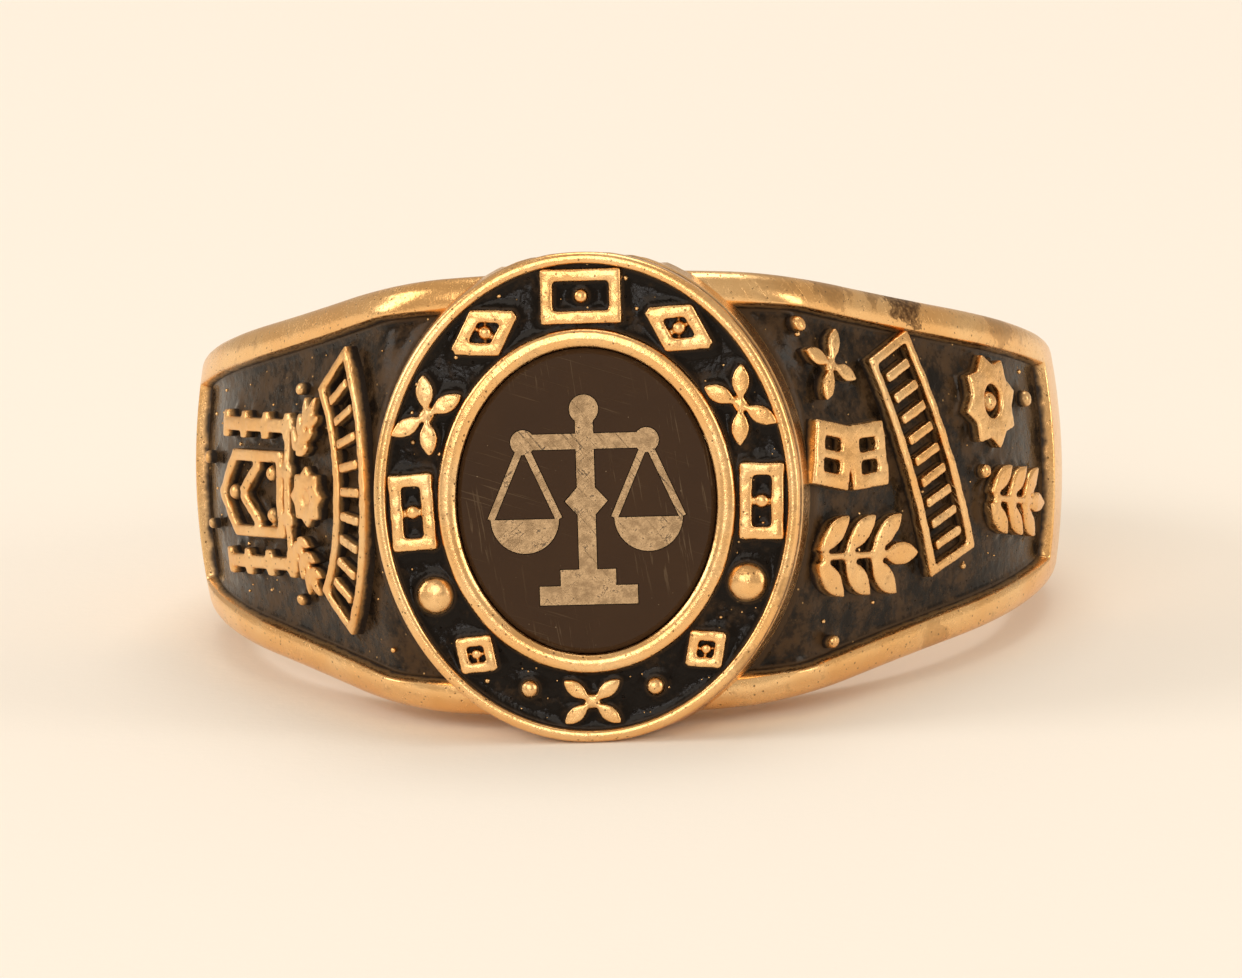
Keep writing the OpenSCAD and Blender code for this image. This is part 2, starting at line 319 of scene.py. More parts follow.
class Reading:
    """A number that a shader reads, with Python's arithmetic."""

    def __init__(self, graph: "Graph", socket: Socket) -> None:
        """Wraps an output socket of a graph."""
        self.graph, self.socket = graph, socket

    def math(self, operation: str, *others: Any, clamp: bool = False) -> "Reading":
        """Adds one Math node with this reading as its first value."""
        settings = {"operation": operation, "use_clamp": clamp}
        return self.graph.node("ShaderNodeMath", settings, dict(enumerate((self, *others))))

    def __add__(self, other: Any) -> "Reading":
        """Sum."""
        return self.math("ADD", other)

    __radd__ = __add__

    def __mul__(self, other: Any) -> "Reading":
        """Product."""
        return self.math("MULTIPLY", other)

    __rmul__ = __mul__

    def __sub__(self, other: Any) -> "Reading":
        """Difference."""
        return self.math("SUBTRACT", other)

    def __rsub__(self, other: Any) -> "Reading":
        """Difference from a plain number."""
        return self * -1 + other

    def most(self, other: Any) -> "Reading":
        """The larger of two readings."""
        return self.math("MAXIMUM", other)

    def step(self, start: float, end: float) -> "Reading":
        """A smooth step.

        Args:
            start: Where it is 0.
            end: Where it is 1; it may be less than start.

        Returns:
            A share from 0 to 1.
        """
        flip = start > end
        low, high = (end, start) if flip else (start, end)
        settings = {"interpolation_type": "SMOOTHSTEP"}
        inputs = {"Value": self, "From Min": low, "From Max": high}
        stepped = self.graph.node("ShaderNodeMapRange", settings, inputs)
        return 1 - stepped if flip else stepped


class Graph:
    """A material under construction, whose patterns are measured in millimetres."""

    def __init__(self, name: str) -> None:
        """Starts an empty material with its output and its object coordinates.

        Args:
            name: The material's name.
        """
        self.material = bpy.data.materials.new(name)
        self.material.use_nodes = True
        self.tree = self.material.node_tree
        self.tree.nodes.clear()
        self.out = self.raw("ShaderNodeOutputMaterial")
        self.place = self.raw("ShaderNodeTexCoord").outputs["Object"]

    def raw(
        self, kind: str, settings: dict[str, Any] | None = None, inputs: dict[Any, Any] | None = None
    ) -> bpy.types.Node:
        """Makes any node.

        Args:
            kind: The node's type.
            settings: Its properties, set first.
            inputs: Values or links, by the socket's name or number.

        Returns:
            The node.
        """
        node = self.tree.nodes.new(kind)
        for name, value in (settings or {}).items():
            setattr(node, name, value)
        for name, value in (inputs or {}).items():
            source = value.socket if isinstance(value, Reading) else value
            if isinstance(source, Socket):
                self.tree.links.new(source, node.inputs[name])
            else:
                node.inputs[name].default_value = source
        return node

    def node(
        self, kind: str, settings: dict[str, Any] | None = None, inputs: dict[Any, Any] | None = None,
        output: Any = 0,
    ) -> Reading:
        """Makes any node as raw does, and reads one of its outputs."""
        return Reading(self, self.raw(kind, settings, inputs).outputs[output])

    def grid(self, turn: Numbers = (0, 0, 0), stretch: Numbers = (1, 1, 1)) -> Socket:
        """Object coordinates in millimetres.

        Args:
            turn: Euler angles in degrees by which they are turned first.
            stretch: Factors by which they are stretched then.

        Returns:
            The coordinates.
        """
        turns = [math.radians(angle) for angle in turn]
        inputs = {"Vector": self.place, "Rotation": turns}
        turned = self.raw("ShaderNodeMapping", {"vector_type": "POINT"}, inputs).outputs[0]
        scale = [share / MILLI for share in stretch]
        return self.raw("ShaderNodeMapping", None, {"Vector": turned, "Scale": scale}).outputs[0]

    def noise(
        self, scale: float, detail: float = 2.0, rough: float = 0.5, grid: Socket | None = None,
        warp: float = 0.0,
    ) -> Reading:
        """Noise.

        Args:
            scale: Features per millimetre.
            detail: Octaves.
            rough: The share of each finer octave.
            grid: The coordinates, or None for plain ones.
            warp: How far it distorts itself.

        Returns:
            The noise, from 0 to 1.
        """
        inputs = {
            "Vector": grid or self.grid(),
            "Scale": scale,
            "Detail": detail,
            "Roughness": rough,
            "Distortion": warp,
        }
        return self.node("ShaderNodeTexNoise", {"noise_dimensions": "3D"}, inputs, "Fac")

    def specks(self, scale: float, size: float, grid: Socket | None = None) -> Reading:
        """Round specks.

        Args:
            scale: Specks per millimetre.
            size: Their radius, as a share of the distance between them.
            grid: The coordinates, or None for plain ones.

        Returns:
            1 in a speck and 0 elsewhere.
        """
        inputs = {"Vector": grid or self.grid(), "Scale": scale, "Randomness": 1.0}
        away = self.node("ShaderNodeTexVoronoi", {"feature": "F1"}, inputs, "Distance")
        return away.step(size, size * 0.6)

    def scratches(self, turn: Numbers, density: float, share: float) -> Reading:
        """Hairline scratches along one direction, in patches.

        Args:
            turn: The direction, as Euler angles in degrees.
            density: Scratches per millimetre.
            share: The share of the noise that becomes scratches.

        Returns:
            1 in a scratch and 0 elsewhere.
        """
        lines = self.noise(1.0, 3.0, 0.6, self.grid(turn, (density, density, 0.35)), 0.4)
        patches = self.noise(0.45, 2.0, 0.5, self.grid(turn))
        return lines.step(0.64 - share, 0.69 - share) * patches.step(0.42, 0.62)

    def attribute(self, name: str) -> Reading:
        """A number that the mesh keeps for each of its vertices."""
        settings = {"attribute_name": name, "attribute_type": "GEOMETRY"}
        return self.node("ShaderNodeAttribute", settings, None, "Fac")

    def mix(self, share: Reading, a: Any, b: Any) -> Socket:
        """A colour that goes from a to b."""
        return self.raw("ShaderNodeMix", {"data_type": "RGBA"}, {0: share, 6: a, 7: b}).outputs[2]

    def near(self, place: Numbers) -> Reading:
        """Distance from a place.

        Args:
            place: The place in the ring's own frame.

        Returns:
            The distance in millimetres.
        """
        centre = REST.matrix() @ Vector(place)
        inputs = {0: self.place, 1: tuple(centre)}
        return self.node("ShaderNodeVectorMath", {"operation": "DISTANCE"}, inputs, "Value") * (1 / MILLI)

    def bump(self, height: Reading, depth: float) -> Socket:
        """A normal from a height in shares of a depth in millimetres."""
        inputs = {"Height": height, "Strength": 1.0, "Distance": depth * MILLI}
        return self.raw("ShaderNodeBump", None, inputs).outputs["Normal"]

    def finish(self, values: dict[str, Any]) -> bpy.types.Material:
        """Closes the graph with a Principled shader.

        Args:
            values: Its values or links, by socket.

        Returns:
            The material.
        """
        shader = self.raw("ShaderNodeBsdfPrincipled", None, values)
        self.tree.links.new(shader.outputs[0], self.out.inputs["Surface"])
        return self.material


# Finishes


def colour(red: float, green: float, blue: float) -> Colour:
    """A scene-linear colour with full alpha."""
    return (red, green, blue, 1.0)


@dataclass(frozen=True)
class TarnishAndPaintedReflection:
    """A brown spot on the gold, part tarnish and part painted dark reflection: its place, its size and how
    strongly it shows.
    """

    place: tuple[float, float, float]
    size: float
    strength: float


@dataclass(frozen=True)
class Finish:
    """A finish, which says what its shader reads."""

    name: str

    def values(self, graph: Graph) -> dict[str, Any]:
        """What the Principled shader reads.

        Args:
            graph: The material's graph.

        Returns:
            Values or links, by socket.
        """
        raise NotImplementedError

    def material(self) -> bpy.types.Material:
        """Builds the material."""
        graph = Graph(self.name)
        return graph.finish(self.values(graph))


@dataclass(frozen=True)
class WornGold(Finish):
    """Cast yellow gold, polished long ago: soft scratches, pits, and dark residue in its hollows.

    Residue starts to show at a hollow of residue_start and covers the gold at residue_end.
    """

    metal: Colour = colour(0.87, 0.505, 0.20)
    pale: Colour = colour(0.93, 0.615, 0.30)
    residue: Colour = colour(0.020, 0.011, 0.006)
    brown: Colour = colour(0.20, 0.095, 0.035)
    burnt: Colour = colour(0.115, 0.058, 0.024)
    rough: float = 0.24
    grain: float = 0.012
    residue_start: float = 0.30
    residue_end: float = 0.78
    spots: tuple[TarnishAndPaintedReflection, ...] = ()

    def stain_and_reflection(self, graph: Graph, cloud: Reading, fine: Reading) -> Reading | None:
        """Where the brown spots lie; they are part tarnish and part painted dark reflection.

        Args:
            graph: The material's graph.
            cloud: Noise that frays their edges.
            fine: Finer noise for the same.

        Returns:
            A share from 0 to 1, or None without spots.
        """
        stain_and_reflection = None
        for spot in self.spots:
            ragged = (cloud - 0.5) * 1.9 + (fine - 0.5) * 1.1
            apart = graph.near(spot.place) + ragged * spot.size
            mask = apart.step(spot.size, spot.size * 0.8) * spot.strength
            stain_and_reflection = mask if stain_and_reflection is None else stain_and_reflection.most(mask)
        return stain_and_reflection

    def values(self, graph: Graph) -> dict[str, Any]:
        """What the Principled shader reads.

        Args:
            graph: The material's graph.

        Returns:
            Values or links, by socket.
        """
        broad = graph.noise(0.55, 3.0, 0.55)
        fine = graph.noise(9.0, 4.0, 0.62)
        cloud = graph.noise(2.2, 3.0, 0.6)
        marks = graph.scratches((20, 35, 10), 16.0, 0.03).most(graph.scratches((65, -25, 50), 22.0, 0.02))
        pits = graph.specks(5.5, 0.16)
        hollow = graph.attribute(HOLLOW)
        ragged = hollow + (cloud - 0.5) * 0.55 + (fine - 0.5) * 0.25
        dirt = ragged.step(self.residue_start, self.residue_end)
        film = (hollow + (broad - 0.5) * 0.6).step(0.06, 0.55) * 0.45
        # Brown spots: part tarnish, part painted reflection of a dark surround on the rim.
        stain_and_reflection = self.stain_and_reflection(graph, cloud, fine)
        tone = graph.mix(broad.step(0.35, 0.7), self.metal, self.pale)
        tone = graph.mix(film.most(cloud.step(0.56, 0.76) * broad.step(0.4, 0.6) * 0.4), tone, self.brown)
        rough = (broad - 0.5) * 0.16 + (fine - 0.5) * 0.16 + self.rough + marks * 0.14 + dirt * 0.35
        if stain_and_reflection is not None:
            tone = graph.mix(stain_and_reflection * (fine.step(0.3, 0.6) * 0.4 + 0.6), tone, self.burnt)
            rough = rough + stain_and_reflection * 0.22
        tone = graph.mix(dirt.most(pits * 0.6), tone, self.residue)
        return {
            "Base Color": tone,
            "Metallic": 1 - dirt * 0.85,
            "Roughness": rough.math("MAXIMUM", 0.08, clamp=True),
            "Normal": graph.bump(fine * 0.5 + cloud * 0.9 - marks * 0.5 - pits * 1.2, self.grain),
        }


@dataclass(frozen=True)
class PooledEnamel(Finish):
    """Black enamel that has pooled in a recess: glossy, a little dusty, with tiny pits and gold dust.

    Brown soil starts to show where its noise is at soil_start, and is full at soil_end with soil_share of
    its colour.
    """

    black: Colour = colour(0.0085, 0.0058, 0.0040)
    dusty: Colour = colour(0.085, 0.047, 0.020)
    dust: Colour = colour(0.72, 0.45, 0.20)
    soil_start: float = 0.52
    soil_end: float = 0.74
    soil_share: float = 0.55
    gloss: float = 0.12

    def values(self, graph: Graph) -> dict[str, Any]:
        """What the Principled shader reads.

        Args:
            graph: The material's graph.

        Returns:
            Values or links, by socket.
        """
        cloud = graph.noise(1.4, 3.0, 0.6)
        fine = graph.noise(7.0, 3.0, 0.6)
        ripple = graph.noise(3.2, 2.0, 0.5)
        pits = graph.specks(3.4, 0.13)
        gold = graph.specks(2.6, 0.085, graph.grid((31, 47, 12))) * cloud.step(0.44, 0.6)
        soil = (cloud * 0.7 + fine * 0.3).step(self.soil_start, self.soil_end)
        soil = soil.most(graph.attribute(HOLLOW).step(0.45, 1.0) * 0.8)
        tone = graph.mix(soil * self.soil_share, self.black, self.dusty)
        return {
            "Base Color": graph.mix(gold, tone, self.dust),
            "Metallic": gold * 0.9,
            "Roughness": cloud * 0.14 + fine * 0.08 + soil * 0.22 + gold * 0.1 + 0.04,
            "Specular IOR Level": self.gloss,
            "Normal": graph.bump(ripple * 0.7 + fine * 0.22 - pits * 0.9 + gold * 0.8, 0.03),
        }


@dataclass(frozen=True)
class RubbedOnyx(Finish):
    """A flat onyx tablet, nearly black, with a film of fine scratches and a little dust; its brown is partly
    painted warm reflection.
    """

    name: str = "rubbed_onyx"
    # dark and warm are brown, not black: partly the stone's own tone, partly a painted reflection of the
    # warm room.
    dark: Colour = colour(0.037, 0.0185, 0.0088)
    warm: Colour = colour(0.053, 0.0270, 0.0122)
    lint: Colour = colour(0.34, 0.25, 0.16)

    def values(self, graph: Graph) -> dict[str, Any]:
        """What the Principled shader reads.

        Args:
            graph: The material's graph.

        Returns:
            Values or links, by socket.
        """
        cloud = graph.noise(0.7, 3.0, 0.55)
        fine = graph.noise(14.0, 3.0, 0.6)
        marks = graph.scratches((12, 8, 0), 14.0, 0.04).most(graph.scratches((8, 72, 20), 20.0, 0.03))
        dust = graph.specks(4.2, 0.07) * fine.step(0.45, 0.6)
        tone = graph.mix(cloud, self.dark, self.warm)
        return {
            "Base Color": graph.mix(marks * 0.16 + dust * 0.8, tone, self.lint),
            "Roughness": cloud * 0.12 + fine * 0.1 + marks * 0.2 + dust * 0.3 + 0.22,
            "Specular IOR Level": 0.1,
            "Normal": graph.bump(fine * 0.35 - marks * 0.6 + dust * 0.8, 0.006),
        }


@dataclass(frozen=True)
class RubbedLeaf(Finish):
    """The emblem's matte gold, mottled, with the stone showing through fine wear."""

    name: str = "rubbed_gold_leaf"
    leaf: Colour = colour(0.32, 0.215, 0.12)
    bright: Colour = colour(0.54, 0.375, 0.215)
    bare: Colour = colour(0.05, 0.032, 0.02)

    def values(self, graph: Graph) -> dict[str, Any]:
        """What the Principled shader reads.

        Args:
            graph: The material's graph.

        Returns:
            Values or links, by socket.
        """
        blotch = graph.noise(4.5, 4.0, 0.65)
        fine = graph.noise(26.0, 3.0, 0.65)
        marks = graph.scratches((10, 40, 0), 15.0, 0.05).most(graph.scratches((5, -50, 10), 19.0, 0.04))
        worn = (blotch * 0.6 + fine * 0.4 + marks * 0.12).step(0.56, 0.66)
        tone = graph.mix(blotch.step(0.35, 0.65), self.leaf, self.bright)
        return {
            "Base Color": graph.mix(worn * 0.85, tone, self.bare),
            "Metallic": 1 - worn * 0.8,
            "Roughness": fine * 0.2 + blotch * 0.1 + worn * 0.1 + 0.30,
            "Normal": graph.bump(fine * 0.8 + blotch * 0.7 - worn * 0.8 - marks * 0.5, 0.012),
        }


@dataclass(frozen=True)
class PaleGround(Finish):
    """The plain cream floor."""

    name: str = "pale_ground"
    cream: Colour = colour(0.93, 0.905, 0.865)
    shade: Colour = colour(0.90, 0.872, 0.83)

    def values(self, graph: Graph) -> dict[str, Any]:
        """What the Principled shader reads.

        Args:
            graph: The material's graph.

        Returns:
            Values or links, by socket.
        """
        wide = graph.noise(0.012, 2.0, 0.5)
        return {
            "Base Color": graph.mix(wide, self.cream, self.shade),
            "Roughness": wide * 0.1 + 0.7,
            "Normal": graph.bump(graph.noise(3.0, 3.0, 0.6), 0.01),
        }


# Meshes


def in_scene(name: str, data: Any) -> bpy.types.Object:
    """Makes an object in the scene.

    Args:
        name: Its name.
        data: Its mesh, light or camera.

    Returns:
        The object.
    """
    made = bpy.data.objects.new(name, data)
    bpy.context.scene.collection.objects.link(made)
    return made


def meshed(name: str, bm: BMesh) -> bpy.types.Object:
    """Makes an object in the scene out of a bmesh.

    Args:
        name: The object's name.
        bm: The bmesh; it is freed.

    Returns:
        The object.
    """
    mesh = bpy.data.meshes.new(name)
    bm.to_mesh(mesh)
    bm.free()
    return in_scene(name, mesh)


def ring_piece(name: str, bm: BMesh, finish: bpy.types.Material, stands_for: str) -> None:
    """Turns a mesh of the ring's own frame into a piece that rides on the ring.

    Args:
        name: The piece's name.
        bm: Its mesh, in millimetres; it is freed.
        finish: Its material.
        stands_for: The CAD node that it replaces.
    """
    bmesh.ops.recalc_face_normals(bm, faces=bm.faces[:])
    bmesh.ops.transform(bm, matrix=REST.matrix(), verts=bm.verts[:])
    for face in bm.faces:
        face.smooth = True
    piece = meshed(name, bm)
    piece.data.materials.append(finish)
    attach(piece, "root")
    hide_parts(stands_for)
    piece.data.calc_loop_triangles()
    LOG.info("%s: %d triangles", name, len(piece.data.loop_triangles))


def voxel_union(bm: BMesh, voxel: float, rounds: int, wear: int) -> BMesh:
    """Melts overlapping solids into one skin and softens its edges, as a casting does.

    Args:
        bm: Closed solids that may overlap; it is freed.
        voxel: The grid's size.
        rounds: Rounds of smoothing.
        wear: Further rounds that only lower or raise, so that strokes keep their width.

    Returns:
        A new mesh.
    """
    holder = meshed("union", bm)
    remesh = holder.modifiers.new("skin", "REMESH")
    remesh.mode = "VOXEL"
    remesh.voxel_size = voxel
    done = holder.evaluated_get(bpy.context.evaluated_depsgraph_get())
    skin = bpy.data.meshes.new_from_object(done)
    bpy.data.objects.remove(holder)
    made = bmesh.new()
    made.from_mesh(skin)
    bpy.data.meshes.remove(skin)
    for number in range(rounds + wear):
        sideways = number < rounds
        bmesh.ops.smooth_vert(
            made, verts=made.verts[:], factor=0.5,
            use_axis_x=sideways, use_axis_y=sideways, use_axis_z=True,
        )
    return made


def spun(profile: Sequence[Numbers], axis: Numbers, steps: int, closed: bool) -> tuple[BMesh, Layer]:
    """Spins a profile once round an axis through the origin, and labels each vertex with its place in it.

    Args:
        profile: The profile's points.
        axis: The axis.
        steps: Steps of the spin.
        closed: Whether the profile's last point joins its first.

    Returns:
        The mesh and the layer with the labels, which start at 1.
    """
    bm = bmesh.new()
    label = bm.verts.layers.int.new("label")
    points = [bm.verts.new(p) for p in profile]
    for number, vert in enumerate(points, 1):
        vert[label] = number
    pairs = list(zip(points, points[1:])) + ([(points[-1], points[0])] if closed else [])
    edges = [bm.edges.new(pair) for pair in pairs]
    bmesh.ops.spin(
        bm, geom=points + edges, cent=(0, 0, 0), axis=axis, angle=math.tau, steps=steps, use_merge=True
    )
    bmesh.ops.remove_doubles(bm, verts=bm.verts[:], dist=1e-6)
    return bm, label


def soften(bm: BMesh, label: Layer, ring: int, size: float, segments: int) -> None:
    """Bevels the edges that run round at one label of a spun profile.

    Args:
        bm: The mesh.
        label: Its labels.
        ring: The label.
        size: Size of the bevel.
        segments: Its segments.
    """
    bm.normal_update()
    edges = [e for e in bm.edges if all(v[label] == ring for v in e.verts)]
    bmesh.ops.bevel(
        bm, geom=edges, offset=size, offset_type="OFFSET", segments=segments, profile=0.5,
        affect="EDGES", material=-1, clamp_overlap=True,
    )


@dataclass
class Shank:
    """The band with its two sunk panels.

    Margins are distances from the side face: the wall of a panel goes down over wall_margins, and
    floor_shares are the places of the floor's points between its middle and that wall. Turns are in
    degrees: end_turns are those of the close sections, from the end of a panel. The section is spun with
    its points spin_pitch apart at about spin_r, and each then takes its place.
    """

    shape: BandShape = BAND
    bore_soft: float = 0.2
    edge_soft: float = 0.34
    wall_margins: tuple[float, ...] = (0.765, 0.80, 0.83, 0.86, 0.89, 0.925, 0.96)
    floor_shares: tuple[float, ...] = (0.82, 0.62, 0.42, 0.2)
    rim_margin: float = 0.42
    end_wall: float = 0.12
    end_turns: tuple[float, ...] = (-0.9, -0.6, -0.42, -0.28, -0.14, 0.0, 0.2, 0.6)
    front_turns: int = 81
    back_start: float = 1.5
    back_steps: int = 71
    spin_r: float = 20.0
    spin_pitch: float = 0.1

    def stations(self) -> list[float]:
        """Turns from the head of the sections, closer together at the ends of the panels.

        Returns:
            The turns in radians, in their order round the ring.
        """
        end = self.shape.panel_turn
        fine = [end + math.radians(d) for d in self.end_turns]
        front = [math.radians(d) for d in range(self.front_turns)]
        start = end + math.radians(self.back_start)
        back = [start + (math.pi - start) * i / self.back_steps for i in range(self.back_steps + 1)]
        half = front + fine + back
        return sorted([-t for t in half if 0 < t < math.pi] + half)

    def depth(self, turn: float, margin: float) -> float:
        """Depth of the panel below the outside.

        Args:
            turn: Turn from the head, in radians.
            margin: Distance from the side face.

        Returns:
            The depth in millimetres.
        """
        first, last = self.wall_margins[0], self.wall_margins[-1]
        end = (self.shape.panel_turn - abs(turn)) * self.shape.band_r
        return self.shape.panel_d * fade(margin, first, last) * fade(end, 0.0, self.end_wall)

    def bore(self, turn: float) -> Vector:
        """The upper edge of the bore at a turn."""
        y = -self.shape.bore_r * math.cos(turn)
        return Vector((self.shape.bore_r * math.sin(turn), y, self.shape.half_height(y)))

    def at_margin(self, margin: float) -> Place:
        """The place on the outside at a margin from the side face."""
        return lambda turn: self.shape.along_side(turn, margin, -self.depth(turn, margin))

    def at_share(self, share: float) -> Place:
        """The place on the panel's floor at a share of its half height.

        Args:
            share: The share.

        Returns:
            The place.
        """

        def place(turn: float) -> Vector:
            """The point at one turn.

            Args:
                turn: The turn from the head.

            Returns:
                The point.
            """
            deep = -self.depth(turn, self.wall_margins[-1])
            z = self.shape.along_side(turn, self.wall_margins[-1], deep).z * share
            return self.shape.outside(turn, z, deep)

        return place

    def mirrored(self, place: Place) -> Place:
        """The same place on the lower half."""
        return lambda turn: place(turn) * Vector((1, 1, -1))

    def places(self) -> list[Place]:
        """The places of the section's points, from the upper bore edge outward and down.

        Returns:
            Functions of the turn from the head.
        """
        upper = [self.bore] + [self.at_margin(m) for m in (0.0, self.rim_margin, *self.wall_margins)]
        upper += [self.at_share(share) for share in self.floor_shares]
        return upper + [self.at_share(0.0)] + [self.mirrored(place) for place in reversed(upper)]

    def build(self) -> BMesh:
        """Spins the section and moves each vertex to its place.

        Returns:
            The band.
        """
        places, stations = self.places(), self.stations()
        pitch = self.spin_pitch
        section = [(self.spin_r + pitch * i, 0, pitch * i) for i in range(len(places))]
        bm, label = spun(section, (0, 0, 1), len(stations), True)
        for vert in bm.verts:
            number = round(math.atan2(vert.co.y, vert.co.x) / math.tau * len(stations))
            vert.co = places[vert[label] - 1](stations[number % len(stations)])
        last = len(places)
        for ring in (2, last - 1):
            soften(bm, label, ring, self.edge_soft, 5)
        for ring in (1, last):
            soften(bm, label, ring, self.bore_soft, 3)
        return bm


@dataclass
class Head:
    """The oval head with its lip, its field and its bezel.

    More than lip_edge below the top its outside is trimmed by the band's side faces, with a step that
    fades between the two heights of step_heights. wall_heights are those of the rings below the lip.
    """

    shape: HeadShape = HEAD
    steps: int = 288
    wall_heights: tuple[float, ...] = (9.7, 10.3, 10.9, 11.4)
    step_heights: tuple[float, float] = (9.5, 11.2)
    lip_edge: float = 0.1

    def profile(self) -> list[tuple[float, float, float, int]]:
        """The rings of the profile, from the middle of its foot to the middle of the stone's seat.

        Returns:
            The half width and height of each, and the size and segments of its bevel.
        """
        shape = self.shape
        top, lip, ridge = shape.top, shape.lip_a, shape.top - shape.lip_h
        fall = ridge - shape.foot
        return [
            (0.0, shape.foot, 0.0, 0),
            (4.0, shape.foot, 0.0, 0),
            (lip + shape.flare, shape.foot, 0.0, 0),
            *((lip + shape.flare * (ridge - height) / fall, height, 0.0, 0) for height in self.wall_heights),
            (lip + 0.035, ridge - 0.12, 0.05, 2),
            (lip - 0.035, ridge - 0.02, 0.04, 2),
            (lip, ridge + 0.12, 0.04, 2),
            (lip, top, 0.13, 4),
            (lip - shape.lip_t, top, 0.11, 4),
            (shape.field_a - 0.02, shape.floor, 0.0, 0),
            (shape.bezel_a + 0.02, shape.floor, 0.0, 0),
            (shape.bezel_a, top + shape.bezel_rise - 0.02, 0.11, 4),
            (shape.window_a + 0.16, top + shape.bezel_rise, 0.06, 2),
            (shape.window_a, top - 0.05, 0.05, 2),
            (shape.window_a, shape.seat, 0.0, 0),
            (0.0, shape.seat, 0.0, 0),
        ]

    def build(self) -> BMesh:
        """Spins the profile, makes it oval, trims it by the side faces and softens its edges.

        Returns:
            The head.
        """
        shape, rings = self.shape, self.profile()
        bm, label = spun([(r, -h, 0) for r, h, _, _ in rings], (0, 1, 0), self.steps, False)
        for vert in bm.verts:
            r, h, _, _ = rings[vert[label] - 1]
            x, z = shape.oval(r, math.atan2(vert.co.z, vert.co.x))
            if h < shape.top - self.lip_edge and r > shape.field_a:
                most = BAND.half_height(-h) + shape.step * (1.5 * fade(h, *self.step_heights) - 0.5)
                z = min(max(z, -most), most)
            vert.co = shape.face(x, z, h - shape.top)
        for number, (_, _, size, segments) in enumerate(rings, 1):
            if size:
                soften(bm, label, number, size, segments)
        return bm


# Relief


class Kind(Enum):
    """The kinds of raised ornament."""

    BLOCK = "block"
    LOZENGE = "lozenge"
    BLOOM = "bloom"
    PEARL = "pearl"
    SPRIG = "sprig"
    STAR = "star"
    BOOK = "book"
    SHIELD = "shield"
    COLUMN = "column"


@dataclass(frozen=True)
class Mark:
    """One ornament: its place, its length and width, the width of its lines and its turn in degrees."""

    kind: Kind
    x: float
    y: float
    length: float
    width: float
    line: float = 0.3
    spin: float = 0.0


def at(x: float, y: float, spin: float = 0.0) -> Matrix:
    """A place in a sketch, turned by degrees."""
    return Matrix.Translation((x, y, 0)) @ Matrix.Rotation(math.radians(spin), 4, "Z")


